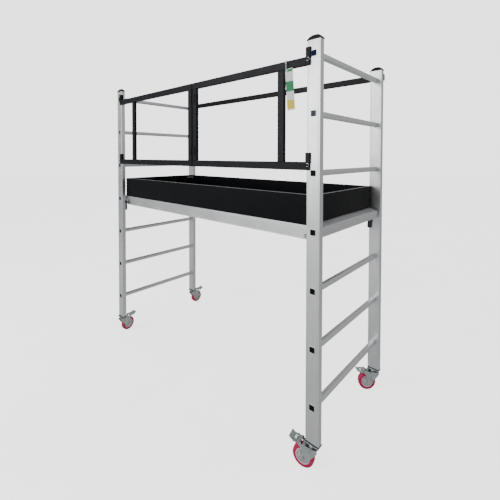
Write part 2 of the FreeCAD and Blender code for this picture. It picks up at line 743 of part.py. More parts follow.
def side_rail(face, sy):
    """A box rail with the two studs that carry the catches."""
    name = "platform_side_rail_" + face
    across = mirrored(sy, rail_inner_y, rail_outer_y)
    up = (deck_top - side_rail_height, deck_top)
    rail = tube(name + "_tube", (-rail_end, rail_end), across, up, side_rail_wall, "x")
    parts = [rail]
    reach = catch_spacer + catch_plate + race_gap
    for side, sx in SIDES:
        x = (rail_end - catch_pivot_inset) * sx
        z = deck_top - catch_pivot_drop
        for label, radius, start, length in (
            ("spacer", stud_head_radius, as_size(0), catch_spacer),
            ("stud", stud_radius, as_size(0), reach),
            ("head", stud_head_radius, reach, stud_head),
        ):
            low = rail_outer_y + start
            end = low + length if sy > 0 else -low
            parts.append(rod("%s_%s_%s" % (name, label, side), radius, length, x, end, z, ALONG_Y))
    return fuse(name, parts)


def shoulder(name, sx, foot_x):
    """A hollow grooved wedge on the beam that carries the end toe board."""
    inner_x = toe_outer_x - toe_thickness
    slope = shoulder_rise / (foot_x - toe_outer_x)
    top = deck_top + shoulder_rise
    outline = [(inner_x, deck_top), (inner_x, top), (toe_outer_x, top)]
    count = 4
    for index in range(count):
        near = toe_outer_x + (foot_x - toe_outer_x) * ((index + 1) / (count + 1))
        far = near + skirt_groove_width
        far_z = deck_top + (foot_x - far) * slope
        floor = far_z - skirt_groove_depth
        outline += [(near, deck_top + (foot_x - near) * slope), (near, floor), (far, floor), (far, far_z)]
    outline.append((foot_x, deck_top))
    hollow_x = inner_x + shoulder_wall
    ceiling = top - shoulder_wall * 2
    hollow = [
        (hollow_x, deck_top + shoulder_wall / 5),
        (hollow_x, ceiling),
        (toe_outer_x, ceiling),
        (foot_x - shoulder_wall * 6, deck_top + shoulder_wall / 5),
    ]
    loops = [[(across * sx, up) for across, up in loop] for loop in (outline, hollow)]
    half = rail_outer_y - toe_thickness - shoulder_fit
    return extrusion(name, loops, half * 2, ALONG_Y, 0, half, 0)


def end_beam(side, sx):
    """The hook beam over the carrying rung, grooved along its skirt, with its shoulder."""
    name = "platform_end_beam_" + side
    web_out = half_spacing - rung_half - beam_web_inset + beam_web
    under = deck_top - hook_plate
    skirt_in = half_spacing + rung_half + hook_side_fit
    skirt_out = skirt_in + skirt_thickness
    inner_bevel = hook_bevel - hook_bevel / 4
    bottom = deck_top - skirt_drop
    section = [
        (rail_end, deck_top - side_rail_height),
        (web_out, deck_top - side_rail_height),
        (web_out, under),
        (skirt_in - inner_bevel, under),
        (skirt_in, under - inner_bevel),
        (skirt_in, bottom),
        (skirt_out, bottom),
    ]
    groove_floor = skirt_out - skirt_groove_depth
    for index in range(5):
        low = bottom + skirt_groove_pitch * (index + 1) - skirt_groove_width
        high = low + skirt_groove_width
        section += [(skirt_out, low), (groove_floor, low), (groove_floor, high), (skirt_out, high)]
    section += [
        (skirt_out, deck_top - hook_bevel),
        (skirt_out - hook_bevel, deck_top),
        (rail_end, deck_top),
    ]
    section = [(across * sx, up) for across, up in section]
    half = stile_inner_y - beam_end_gap
    hook = extrusion(name + "_hook", [section], half * 2, ALONG_Y, 0, half, 0)
    return fuse(name, [hook, shoulder(name + "_shoulder", sx, skirt_out - hook_bevel)])


def deck():
    half_y = rail_inner_y - deck_fit
    half_x = rail_end - deck_fit
    return block("platform_deck", (-half_x, half_x), (-half_y, half_y), (deck_top - deck_thickness, deck_top))


def cross_members():
    top = deck_top - deck_thickness
    members = []
    for index in range(cross_count):
        middle = rail_end * ((2 * index + 1 - cross_count) / cross_count)
        x = (middle - cross_width / 2, middle + cross_width / 2)
        y = (-rail_inner_y, rail_inner_y)
        name = "cross_member_%d" % index
        members.append(tube(name, x, y, (top - cross_height, top), side_rail_wall, "y"))
    return group("platform_cross_members", members)


def toe_board_long(face, sy):
    across = mirrored(sy, rail_outer_y - toe_thickness, rail_outer_y)
    return block("toe_board_" + face, (-toe_outer_x, toe_outer_x), across, (deck_top, toe_top))


def toe_board_short(side, sx):
    half = rail_outer_y - toe_thickness
    along = mirrored(sx, toe_outer_x - toe_thickness, toe_outer_x)
    return block("toe_board_" + side, along, (-half, half), (deck_top + shoulder_rise, toe_top))


def corner_brackets():
    """An angle inside each corner of the toe boards."""
    angles = []
    corner_x = toe_outer_x - toe_thickness
    corner_y = rail_outer_y - toe_thickness
    height = (toe_top - corner_drop - corner_height, toe_top - corner_drop)
    for corner, sx, sy in CORNERS:
        name = "corner_angle_" + corner
        along_x = block(
            name + "_x",
            mirrored(sx, corner_x - corner_leg, corner_x),
            mirrored(sy, corner_y - corner_plate, corner_y),
            height,
        )
        along_y = block(
            name + "_y",
            mirrored(sx, corner_x - corner_plate, corner_x),
            mirrored(sy, corner_y - corner_leg, corner_y),
            height,
        )
        angles.append(fuse(name, [along_x, along_y]))
    return group("toe_board_brackets", angles)


def catch(corner, sx, sy):
    """A swinging catch: its nose lies under the rung, and its handle hangs by the stile."""
    name = "platform_catch_" + corner
    pivot_x = rail_end - catch_pivot_inset
    pivot_z = deck_top - catch_pivot_drop
    nose_top = deck_rung_height - rung_half - catch_rung_fit
    outline = [
        (pivot_x - 9, pivot_z - 7),
        (pivot_x - 9, pivot_z + 8),
        (pivot_x + 4, pivot_z + 12),
        (pivot_x + 46, nose_top),
        (pivot_x + catch_nose, nose_top),
        (pivot_x + catch_nose + 2, nose_top - 11),
        (pivot_x + 56, pivot_z + 2),
        (pivot_x + 50, pivot_z - 6),
        (pivot_x + 46, pivot_z - catch_handle + 4),
        (pivot_x + 40, pivot_z - catch_handle),
        (pivot_x + 26, pivot_z - catch_handle),
        (pivot_x + 20, pivot_z - catch_handle + 8),
        (pivot_x + 24, pivot_z - 12),
    ]
    outline = [(across * sx, up) for across, up in outline]
    inner = rail_outer_y + catch_spacer + race_gap / 2
    start = inner + catch_plate if sy > 0 else -inner
    plate = extrusion(name + "_plate", [outline], catch_plate, ALONG_Y, 0, start, 0)
    bore_start = (rail_outer_y + catch_plate * 4) if sy > 0 else -rail_outer_y
    bore = rod(
        name + "_bore", stud_radius + running_fit, catch_plate * 4, pivot_x * sx, bore_start, pivot_z, ALONG_Y
    )
    return cut(name, plate, [bore])


# ---------------------------------------------------------------- guard frame and back rail

RAILS = (("top", guard_top), ("lower", guard_bottom))


def guard_half(side, rail_from, rail_to, post_centres):
    """Two rails and two posts of one half of the guard frame, butted and welded."""
    half = guard_tube / 2
    across = (-guard_front, -guard_back)
    tubes = []
    for label, height in RAILS:
        name = "guard_%s_%s_rail" % (side, label)
        tubes.append(tube(name, (rail_from, rail_to), across, (height - half, height + half), guard_wall, "x"))
    for index, centre in enumerate(post_centres):
        name = "guard_%s_post_%d" % (side, index)
        z = (guard_bottom + half, guard_top - half)
        tubes.append(tube(name, (centre - half, centre + half), across, z, guard_wall, "z"))
    return group("guard_frame_" + side, tubes)


def guard_bracket(side, sx, label, height):
    """A stepped block on the stile's front with a web and a tongue behind the rail."""
    name = "guard_bracket_%s_%s" % (side, label)
    front = stile_outer_y + bracket_thickness
    web_x = mirrored(sx, stile_inner_x - bracket_sheet, stile_inner_x)
    tongue_front = guard_back - tongue_fit
    tongue_back = tongue_front - bracket_sheet
    face = (-front, -stile_outer_y)
    step = height + bracket_step
    high = height + bracket_rise
    low = height - bracket_fall
    upper_x = mirrored(sx, stile_inner_x, stile_inner_x + bracket_width)
    tail_x = mirrored(sx, stile_inner_x, stile_inner_x + bracket_tail_width)
    upper = block(name + "_block", upper_x, face, (step, high))
    tail = block(name + "_tail", tail_x, face, (low, step))
    web = block(name + "_web", web_x, (-front, -tongue_back), (low, high))
    tongue = block(
        name + "_tongue",
        mirrored(sx, stile_inner_x - tongue_length, stile_inner_x),
        (-tongue_front, -tongue_back),
        (height - tongue_half_height, height + tongue_half_height),
    )
    solid = fuse(name + "_solid", [upper, tail, web, tongue])
    clear = block(
        name + "_stile_room",
        mirrored(sx, stile_inner_x, stile_outer_x),
        (-stile_outer_y, -guard_back + stile_thickness),
        (height - guard_tube, height + guard_tube),
    )
    hole = rod(
        name + "_hole",
        frame_bolt_radius + bolt_fit,
        bracket_thickness * 2,
        (stile_inner_x + bracket_bolt_inset - bolt_fit) * sx,
        -stile_outer_y,
        height + bracket_bolt_rise,
        ALONG_Y,
    )
    return cut(name, solid, [clear, hole])


def guard_brackets(side, sx):
    brackets = [guard_bracket(side, sx, label, height) for label, height in RAILS]
    return group("guard_brackets_" + side, brackets)


def bracket_bolts():
    bolts = []
    front = stile_outer_y + bracket_thickness
    for side, sx in SIDES:
        for label, height in RAILS:
            name = "bracket_bolt_%s_%s" % (side, label)
            x = (stile_inner_x + bracket_bolt_inset - bolt_fit) * sx
            z = height + bracket_bolt_rise
            head = hexagon(name + "_head", frame_hex_radius, bolt_head, x, -front, z, ALONG_Y)
            shank = rod(name + "_shank", frame_bolt_radius, bracket_thickness, x, -stile_outer_y, z, ALONG_Y)
            bolts.append(fuse(name, [head, shank]))
    return bolts


def back_rail():
    half = guard_tube / 2
    near = stile_outer_y
    far = stile_outer_y + guard_tube_depth
    rail = tube(
        "back_rail_tube",
        (-stile_outer_x, stile_outer_x),
        (near, far),
        (back_rail_height - half, back_rail_height + half),
        guard_wall,
        "x",
    )
    holes = []
    for side, sx in SIDES:
        for sign in (-1, 1):
            x = half_spacing * sx + back_bolt_spread * sign
            name = "back_rail_hole_%s_%d" % (side, sign)
            start = far + guard_wall
            length = guard_tube_depth + guard_wall * 2
            holes.append(
                rod(name, frame_bolt_radius + bolt_fit, length, x, start, back_rail_height, ALONG_Y)
            )
    return cut("back_rail", rail, holes)


def back_rail_bolts():
    bolts = []
    far = stile_outer_y + guard_tube_depth
    for side, sx in SIDES:
        for sign in (-1, 1):
            name = "back_rail_bolt_%s_%d" % (side, sign)
            x = half_spacing * sx + back_bolt_spread * sign
            z = back_rail_height
            head = hexagon(name + "_head", frame_hex_radius, bolt_head, x, far + bolt_head, z, ALONG_Y)
            shank = rod(name + "_shank", frame_bolt_radius, guard_tube_depth, x, far, z, ALONG_Y)
            bolts.append(fuse(name, [head, shank]))
    return bolts


HINGES = (("upper", guard_top - hinge_offset), ("lower", guard_bottom + hinge_offset))


def hinge_half(name, sx, height, fixed):
    """One leaf with its knuckles; the fixed leaf has the middle knuckle and the pin."""
    pin_y = -(guard_front + hinge_pin_stand)
    leaf_near = guard_fold_x + (guard_fold_gap / 2) * sx
    leaf_far = leaf_near + hinge_leaf * sx
    x = (leaf_near, leaf_far) if sx > 0 else (leaf_far, leaf_near)
    half = hinge_height / 2
    front = -guard_front - hinge_sheet
    leaf = block(name + "_leaf", x, (front, -guard_front), (height - half, height + half))
    middle = knuckle_middle / 2
    if fixed:
        spans = [(-middle, middle)]
    else:
        spans = [(-half, -middle - knuckle_gap), (middle + knuckle_gap, half)]
    parts = []
    for index, (low, high) in enumerate(spans):
        span = (height + low, height + high)
        length = as_size(high) - low
        tab_x = (guard_fold_x, leaf_near) if sx > 0 else (leaf_near, guard_fold_x)
        knuckle = "%s_knuckle_%d" % (name, index)
        parts.append(block("%s_tab_%d" % (name, index), tab_x, (front, -guard_front), span))
        parts.append(rod(knuckle, knuckle_radius, length, guard_fold_x, pin_y, span[0]))
    pin_length = hinge_height - 1
    relief = knuckle_radius + knuckle_gap
    if fixed:
        pin = rod(name + "_pin", hinge_pin_radius, pin_length, guard_fold_x, pin_y, height - pin_length / 2)
        reliefs = [
            rod(name + "_relief_low", relief, half - middle, guard_fold_x, pin_y, height - half),
            rod(name + "_relief_high", relief, half - middle, guard_fold_x, pin_y, height + middle),
        ]
        plate = cut(name + "_plate", fuse(name + "_joined", [leaf] + parts), reliefs)
        return fuse(name, [plate, pin])
    relief_length = knuckle_middle + knuckle_gap * 2
    relief_low = height - middle - knuckle_gap
    bore = hinge_pin_radius + running_fit
    reliefs = [
        rod(name + "_relief", relief, relief_length, guard_fold_x, pin_y, relief_low),
        rod(name + "_bore", bore, hinge_height * 2, guard_fold_x, pin_y, height - hinge_height),
    ]
    return cut(name, fuse(name + "_joined", [leaf] + parts), reliefs)


def hinge_leaves(name, sx, fixed):
    leaves = [hinge_half("%s_%s" % (name, label), sx, height, fixed) for label, height in HINGES]
    return group(name, leaves)


# ---------------------------------------------------------------- hang tag

def hang_tag():
    top = guard_top - guard_tube / 2 - tag_rail_gap
    left = tag_x - tag_eyelet_side
    back = guard_front + tag_stand
    card = block(
        "tag_card", (left, left + tag_width), (-back - tag_thickness, -back), (top - tag_height, top)
    )
    eyelet_y = -back + tag_thickness
    eyelet_z = top - tag_eyelet_drop
    eyelet = rod("tag_eyelet", tag_eyelet_radius, tag_thickness * 4, tag_x, eyelet_y, eyelet_z, ALONG_Y)
    return cut("hang_tag", card, [eyelet])


def tag_tie():
    """A flat tie that goes round the top rail and through the tag's eyelet."""
    x = (tag_x - tie_width / 2, tag_x + tie_width / 2)
    outside = tie_fit + tie_thickness
    eyelet = guard_top - guard_tube / 2 - tag_rail_gap - tag_eyelet_drop
    low = eyelet + tag_eyelet_radius - tie_seat - tie_thickness
    high = guard_top + guard_tube / 2 + outside
    front = -(guard_front + tie_stand)
    back = -guard_back + outside
    loop = block("tie_outside", x, (front, back), (low, high))
    hole = block(
        "tie_inside",
        (tag_x - tie_width, tag_x + tie_width),
        (front + tie_thickness, back - tie_thickness),
        (low + tie_thickness, high - tie_thickness),
    )
    return cut("tag_tie", loop, [hole])


# ---------------------------------------------------------------- the whole object

pieces = []
for corner_name, side_sign, face_sign in CORNERS:
    where = (corner_name, side_sign, face_sign)
    pieces.append(stile("stile_" + corner_name, side_sign, face_sign))
    pieces.append(caster_plate(*where))
    pieces.append(fork(*where))
    pieces.append(tyre(*where))
    pieces.append(hub(*where))
    pieces.append(axle_bolt(*where))
    pieces.append(pedal(*where))
    pieces.append(catch(*where))
for side_name, side_sign in SIDES:
    pieces.append(rungs("rungs_" + side_name, side_sign))
    pieces.append(end_beam(side_name, side_sign))
    pieces.append(toe_board_short(side_name, side_sign))
    pieces.append(guard_brackets(side_name, side_sign))
for face_name, face_sign in FACES:
    pieces.append(side_rail(face_name, face_sign))
    pieces.append(toe_board_long(face_name, face_sign))

left_post = -(stile_inner_x - left_post_inset)
right_post = stile_inner_x - right_post_inset
rail_reach = stile_inner_x - guard_end_gap
post_half = guard_tube / 2
all_plate_bolts = []
for corner_name, side_sign, face_sign in CORNERS:
    all_plate_bolts += plate_bolts(corner_name, side_sign, face_sign)
pieces += [
    group("stile_caps", [stile_cap(*corner) for corner in CORNERS]),
    group("foot_plugs", [foot_plug(*corner) for corner in CORNERS]),
    rung_end_plugs(),
    deck(),
    cross_members(),
    corner_brackets(),
    guard_half("left", -rail_reach, fold_left, [left_post, fold_left - post_half]),
    guard_half("right", fold_right, rail_reach, [fold_right + post_half, right_post]),
    hinge_leaves("guard_hinges_fixed", -1, True),
    hinge_leaves("guard_hinges_swing", 1, False),
    back_rail(),
    group("frame_bolts", bracket_bolts() + back_rail_bolts() + all_plate_bolts),
    hang_tag(),
    tag_tie(),
]

for piece in pieces:
    piece.Label = piece.Name
doc.recompute()

for item in doc.Objects:
    if "Invalid" in item.State or "Error" in item.State:
        raise RuntimeError("%s did not build: %s" % (item.Name, item.State))
for piece in pieces:
    if piece.Shape.isNull() or not piece.Shape.isValid():
        raise RuntimeError("%s has no valid shape" % piece.Label)
    if not piece.Shape.Solids:
        raise RuntimeError("%s has no solid" % piece.Label)

os.makedirs("parts", exist_ok=True)
for piece in pieces:
    piece.Shape.exportStep(os.path.join("parts", piece.Label + ".step"))
print("%d sub-parts, %d solids" % (len(pieces), sum(len(piece.Shape.Solids) for piece in pieces)))
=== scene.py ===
import json
import math

import bpy
from bpy.props import FloatProperty, FloatVectorProperty, PointerProperty
from mathutils import Matrix, Vector

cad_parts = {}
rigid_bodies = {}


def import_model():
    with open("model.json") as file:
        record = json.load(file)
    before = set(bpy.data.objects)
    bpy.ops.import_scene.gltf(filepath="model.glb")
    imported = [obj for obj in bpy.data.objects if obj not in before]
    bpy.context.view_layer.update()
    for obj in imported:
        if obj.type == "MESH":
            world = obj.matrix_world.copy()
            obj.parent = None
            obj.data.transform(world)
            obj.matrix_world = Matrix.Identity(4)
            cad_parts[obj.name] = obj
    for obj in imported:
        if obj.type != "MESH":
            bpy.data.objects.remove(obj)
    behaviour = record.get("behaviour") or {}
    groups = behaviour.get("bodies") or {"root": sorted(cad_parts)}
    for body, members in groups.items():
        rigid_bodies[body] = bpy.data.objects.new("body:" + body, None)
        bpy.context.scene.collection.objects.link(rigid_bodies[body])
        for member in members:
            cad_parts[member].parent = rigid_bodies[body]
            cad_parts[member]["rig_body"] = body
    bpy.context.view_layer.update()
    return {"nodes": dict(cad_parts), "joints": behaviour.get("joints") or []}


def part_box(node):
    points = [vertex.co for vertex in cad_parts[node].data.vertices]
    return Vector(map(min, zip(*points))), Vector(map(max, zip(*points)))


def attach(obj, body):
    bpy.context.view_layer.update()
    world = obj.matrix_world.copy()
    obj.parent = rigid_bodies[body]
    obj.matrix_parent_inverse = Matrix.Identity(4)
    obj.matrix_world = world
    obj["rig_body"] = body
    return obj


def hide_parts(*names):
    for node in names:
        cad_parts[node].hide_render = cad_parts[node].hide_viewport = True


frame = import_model()

bl_info = {
    "name": "Rolling Scaffold",
    "version": (1, 0, 0),
    "blender": (4, 5, 0),
    "location": "View3D > Sidebar > Scaffold",
    "description": "Models and finishes a low rolling scaffold round its CAD frame",
    "category": "Add Mesh",
}

X, Y, Z = range(3)
CORNERS = ("front_left", "front_right", "back_left", "back_right")
JOINTS = {joint["name"]: joint for joint in frame["joints"]}


# ---------------------------------------------------------------- settings

def colour(label, value, note):
    return FloatVectorProperty(
        name=label, description=note, subtype="COLOR", size=3, min=0, max=1, default=value
    )


def length(label, value, note):
    return FloatProperty(name=label, description=note, unit="LENGTH", min=0, default=value)


def number(label, value, note):
    return FloatProperty(name=label, description=note, default=value)


def angle(label, degrees, note):
    return FloatProperty(name=label, description=note, subtype="ANGLE", default=math.radians(degrees))


class ScaffoldColours(bpy.types.PropertyGroup):
    """Base colours of the finishes."""

    aluminium: colour("Aluminium", (0.7, 0.71, 0.72), "Mill-finish stiles, rungs and platform edges")
    black_paint: colour("Black paint", (0.004, 0.0045, 0.007), "Powder coat on the guard frame")
    board: colour("Board film", (0.002, 0.0025, 0.004), "Film on the deck and toe boards")
    board_edge: colour("Board edge", (0.42, 0.43, 0.45), "Sealed edge of the boards")
    zinc: colour("Zinc", (0.56, 0.6, 0.6), "Plated caster parts and fasteners")
    tread: colour("Tread", (0.5, 0.001, 0.08), "Wheel tread")
    hub: colour("Hub", (0.74, 0.66, 0.69), "Wheel centre")
    cap: colour("Cap", (0.008, 0.008, 0.009), "Stile caps and foot plugs")
    # Black for the swivel gaps: painted shade in the gap between caster plate and swivel race
    seal: colour("Seal", (0.01, 0.01, 0.012), "Swivel seals")
    catch: colour("Catch", (0.045, 0.05, 0.06), "Platform catches")
    plug_top: colour("Top plug", (0.003, 0.007, 0.06), "Plug of the top rung")
    plug_middle: colour("Middle plug", (0.06, 0.06, 0.085), "Plug of the second rung")
    plug_low: colour("Low plug", (0.003, 0.0035, 0.006), "Plugs of the other rungs")
    tie: colour("Tie", (0.82, 0.83, 0.83), "Tie that holds the tag")


class ScaffoldSizes(bpy.types.PropertyGroup):
    """Sizes of the details that the frame doesn't hold."""

    fine_round: length("Fine rounding", 0.0004, "Rounding of extruded edges")
    stile_round: length("Stile rounding", 0.003, "Rounding of a stile's corners")
    tube_round: length("Tube rounding", 0.0032, "Rounding of the guard tubes")
    casting_round: length("Bracket rounding", 0.0014, "Rounding of the guard brackets")
    lip_width: length("Lip width", 0.0024, "Rung lip round its tube")
    lip_proud: length("Lip height", 0.0015, "Rung lip beyond the stile's face")
    weld_radius: length("Weld bead", 0.0022, "Radius of a weld bead")
    tyre_round: length("Tyre rounding", 0.0085, "Rounding of the tyre's shoulders")


class ScaffoldStage(bpy.types.PropertyGroup):
    """Camera and light."""

    camera_place: FloatVectorProperty(
        name="Camera", description="Where the camera stands", subtype="XYZ", unit="LENGTH",
        default=(1.75, -1.737, 1.511),
    )
    camera_turn: angle("Turn", 131.88, "Heading from +X")
    camera_tilt: angle("Tilt", 1.34, "Downward tilt")
    camera_roll: angle("Roll", 0.1, "Roll about the line of sight")
    lens: number("Lens", 23.68, "Focal length in millimetres")
    shift: number("Shift", -0.172, "Vertical shift of the picture")
    room_light: number("Room light", 0.5, "Strength of the even light")
    backdrop: number("Backdrop", 2.6, "Brightness of the seen floor and background")
    key_power: number("Key light", 150.0, "Power in watts")
    fill_power: number("Fill light", 6.0, "Power in watts")
    floor_size: length("Floor", 60.0, "Edge of the square floor")


# ---------------------------------------------------------------- finishes

def tone(shade, factor):
    return tuple(min(1.0, channel * factor) for channel in shade)


class Finish:
    """A material in the making: one principled shader and the patterns that drive it."""

    def __init__(self, name, metallic=0.0, roughness=0.5, specular=0.5):
        self.material = bpy.data.materials.new(name)
        self.material.use_nodes = True
        self.nodes = self.material.node_tree.nodes
        self.links = self.material.node_tree.links
        self.shader = self.nodes["Principled BSDF"]
        self.shader.inputs["Metallic"].default_value = metallic
        self.shader.inputs["Roughness"].default_value = roughness
        self.shader.inputs["Specular IOR Level"].default_value = specular
        self.place = self.nodes.new("ShaderNodeTexCoord").outputs["Object"]

    def stretched(self, amounts):
        mapping = self.nodes.new("ShaderNodeMapping")
        mapping.inputs["Scale"].default_value = amounts
        self.links.new(self.place, mapping.inputs["Vector"])
        return mapping.outputs["Vector"]

    def noise(self, scale, detail=4.0, roughness=0.55, stretch=(1, 1, 1)):
        node = self.nodes.new("ShaderNodeTexNoise")
        node.inputs["Scale"].default_value = scale
        node.inputs["Detail"].default_value = detail
        node.inputs["Roughness"].default_value = roughness
        self.links.new(self.stretched(stretch), node.inputs["Vector"])
        return node.outputs["Fac"]

    def cells(self, scale, stretch=(1, 1, 1)):
        node = self.nodes.new("ShaderNodeTexVoronoi")
        node.feature = "DISTANCE_TO_EDGE"
        node.inputs["Scale"].default_value = scale
        self.links.new(self.stretched(stretch), node.inputs["Vector"])
        return node.outputs["Distance"]

    def axis(self, letter):
        node = self.nodes.new("ShaderNodeSeparateXYZ")
        self.links.new(self.place, node.inputs["Vector"])
        return node.outputs[letter]

    def spread(self, value, low, high, from_low=0.3, from_high=0.7):
        node = self.nodes.new("ShaderNodeMapRange")
        amounts = {"From Min": from_low, "From Max": from_high, "To Min": low, "To Max": high}
        for socket, amount in amounts.items():
            node.inputs[socket].default_value = amount
        self.links.new(value, node.inputs["Value"])
        return node.outputs["Result"]

    def math(self, kind, first, second):
        node = self.nodes.new("ShaderNodeMath")
        node.operation = kind
        for socket, value in zip(node.inputs, (first, second)):
            if isinstance(value, (int, float)):
                socket.default_value = value
            else:
                self.links.new(value, socket)
        return node.outputs["Value"]

    def ramp(self, value, stops, stepped=False):
        node = self.nodes.new("ShaderNodeValToRGB")
        node.color_ramp.interpolation = "CONSTANT" if stepped else "LINEAR"
        elements = node.color_ramp.elements
        while len(elements) < len(stops):
            elements.new(0.5)
        for element, (position, shade) in zip(elements, stops):
            element.position = position
            element.color = (*shade, 1)
        self.links.new(value, node.inputs["Fac"])
        return node.outputs["Color"]

    def tones(self, value, shade, *stops):
        """A ramp through darker and lighter tones of one shade."""
        return self.ramp(value, [(position, tone(shade, factor)) for position, factor in stops])

    def blend(self, factor, first, second):
        node = self.nodes.new("ShaderNodeMix")
        node.data_type = "RGBA"
        self.links.new(factor, node.inputs["Factor"])
        for socket, value in ((node.inputs["A"], first), (node.inputs["B"], second)):
            if isinstance(value, tuple):
                socket.default_value = (*value, 1)
            else:
                self.links.new(value, socket)
        return node.outputs["Result"]

    def set(self, socket, value):
        self.links.new(value, self.shader.inputs[socket])

    def rough(self, first, second):
        """Adds two patterns up into the roughness."""
        self.set("Roughness", self.math("ADD", first, second))

    def bump(self, height, strength, distance):
        node = self.nodes.new("ShaderNodeBump")
        node.inputs["Strength"].default_value = strength
        node.inputs["Distance"].default_value = distance
        self.links.new(height, node.inputs["Height"])
        self.links.new(node.outputs["Normal"], self.shader.inputs["Normal"])


def aluminium(name, shade, grain):
    """Extruded aluminium: die lines along the grain, with a cloudy oxide haze and small rubbed spots."""
    finish = Finish(name, metallic=1.0)
    fine = [1.0, 1.0, 1.0]
    fine["XYZ".index(grain)] = 0.012
    lines = finish.noise(900, 3, 0.6, fine)
    broad_lines = finish.noise(160, 2, 0.5, fine)
    haze = finish.noise(7, 5, 0.6)
    spots = finish.noise(55, 6, 0.7)
    streaked = finish.tones(lines, shade, (0.32, 0.86), (0.68, 1.12))
    banded = finish.tones(broad_lines, shade, (0.35, 0.92), (0.65, 1.07))
    metal = finish.blend(finish.spread(haze, 0.25, 0.75), streaked, banded)
    dull = finish.blend(finish.spread(spots, 0.0, 0.3, 0.58, 0.72), metal, tone(shade, 0.72))
    finish.set("Base Color", dull)
    finish.rough(finish.spread(lines, 0.27, 0.37), finish.spread(haze, 0.0, 0.12))
    finish.bump(finish.math("ADD", lines, broad_lines), 0.12, 0.0004)
    return finish.material


def powder_coat(name, shade, roughness=0.42):
    """Baked paint: fine orange peel, dust in the hollows, and rubbed patches painted lighter, partly wear
    and partly a painted sheen.
    """
    finish = Finish(name, roughness=roughness, specular=0.15)
    peel = finish.noise(420, 2, 0.5)
    dust = finish.noise(14, 6, 0.65)
    rubbed_wear_and_sheen = finish.noise(70, 5, 0.7, (1, 1, 0.4))
    base = finish.tones(dust, shade, (0.35, 0.8), (0.7, 1.9))
    # rubbed patches painted lighter: wear, with a painted sheen
    shown = finish.blend(finish.spread(rubbed_wear_and_sheen, 0.0, 0.5, 0.62, 0.75), base, tone(shade, 3.2))
    finish.set("Base Color", shown)
    dusty = finish.spread(dust, roughness - 0.08, roughness + 0.08)
    finish.rough(dusty, finish.spread(peel, -0.03, 0.03))
    finish.bump(peel, 0.16, 0.0006)
    return finish.material


def board_film(name, shade):
    """Phenolic film on plywood: faint face grain under a smooth, slightly marked film."""
    finish = Finish(name, roughness=0.45, specular=0.09)
    grain = finish.noise(60, 4, 0.6, (0.06, 1, 1))
    clouds = finish.noise(5, 5, 0.6)
    marks = finish.noise(120, 6, 0.75, (0.3, 1, 1))
    base = finish.tones(clouds, shade, (0.3, 0.75), (0.72, 1.7))
    shown = finish.blend(finish.spread(marks, 0.0, 0.45, 0.64, 0.78), base, tone(shade, 3.5))
    finish.set("Base Color", shown)
    finish.rough(finish.spread(clouds, 0.36, 0.5), finish.spread(grain, -0.03, 0.05))
    finish.bump(finish.math("ADD", grain, marks), 0.12, 0.0006)
    return finish.material


def deck_grip(name, shade):
    """The deck's pressed anti-slip face: a small raised mesh with trodden dust, and painted shade darkening
    the grooves between its cells.
    """
    finish = Finish(name, roughness=0.6, specular=0.2)
    mesh = finish.cells(150)
    dust = finish.noise(6, 6, 0.65)
    base = finish.tones(dust, shade, (0.3, 0.9), (0.75, 3.0))
    # painted shade: the low grooves at the cells' edges are darkened
    shown = finish.blend(finish.spread(mesh, 0.5, 0.0, 0.0, 0.12), base, tone(shade, 0.4))
    finish.set("Base Color", shown)
    finish.set("Roughness", finish.spread(dust, 0.5, 0.72))
    finish.bump(finish.spread(mesh, 0.0, 1.0, 0.0, 0.16), 0.6, 0.0008)
    return finish.material


def board_edge(name, shade):
    """Sealed plywood edge, with the plies showing through as thin lines."""
    finish = Finish(name, roughness=0.6, specular=0.3)
    plies = finish.noise(240, 2, 0.5, (0.02, 1, 0.02))
    wear = finish.noise(40, 5, 0.7)
    base = finish.tones(plies, shade, (0.35, 0.7), (0.65, 1.15))
    finish.set("Base Color", finish.blend(finish.spread(wear, 0.0, 0.5), base, tone(shade, 0.45)))
    finish.set("Roughness", finish.spread(wear, 0.5, 0.7))
    finish.bump(plies, 0.2, 0.0004)
    return finish.material


def zinc(name, shade):
    """Bright zinc plate: a bluish cast with pale clouds, and rolled sheet texture under it."""
    finish = Finish(name, metallic=1.0)
    clouds = finish.noise(38, 5, 0.62)
    tint = finish.noise(16, 3, 0.5)
    pits = finish.noise(600, 3, 0.6)
    base = finish.tones(clouds, shade, (0.3, 0.62), (0.55, 1.0), (0.75, 1.25))
    green = (shade[0] * 0.8, shade[1] * 0.95, shade[2] * 0.9)
    finish.set("Base Color", finish.blend(finish.spread(tint, 0.0, 0.55), base, green))
    finish.rough(finish.spread(clouds, 0.2, 0.36), finish.spread(pits, 0.0, 0.08))
    finish.bump(finish.math("ADD", pits, clouds), 0.12, 0.0004)
    return finish.material


def moulded(name, shade, roughness=0.4, coat=0.0, specular=0.5):
    """Injection-moulded plastic with a spark-eroded grain and light scuffs."""
    finish = Finish(name, roughness=roughness, specular=specular)
    finish.shader.inputs["Coat Weight"].default_value = coat
    grain = finish.noise(700, 2, 0.5)
    scuffs = finish.noise(45, 6, 0.75)
    clouds = finish.noise(12, 4, 0.55)
    base = finish.tones(clouds, shade, (0.3, 0.85), (0.7, 1.2))
    pale = tuple(channel * 0.8 + 0.02 for channel in shade)
    finish.set("Base Color", finish.blend(finish.spread(scuffs, 0.0, 0.3, 0.6, 0.76), base, pale))
    cloudy = finish.spread(clouds, roughness - 0.06, roughness + 0.08)
    finish.rough(cloudy, finish.spread(scuffs, 0.0, 0.1))
    finish.bump(grain, 0.14, 0.0004)
    return finish.material


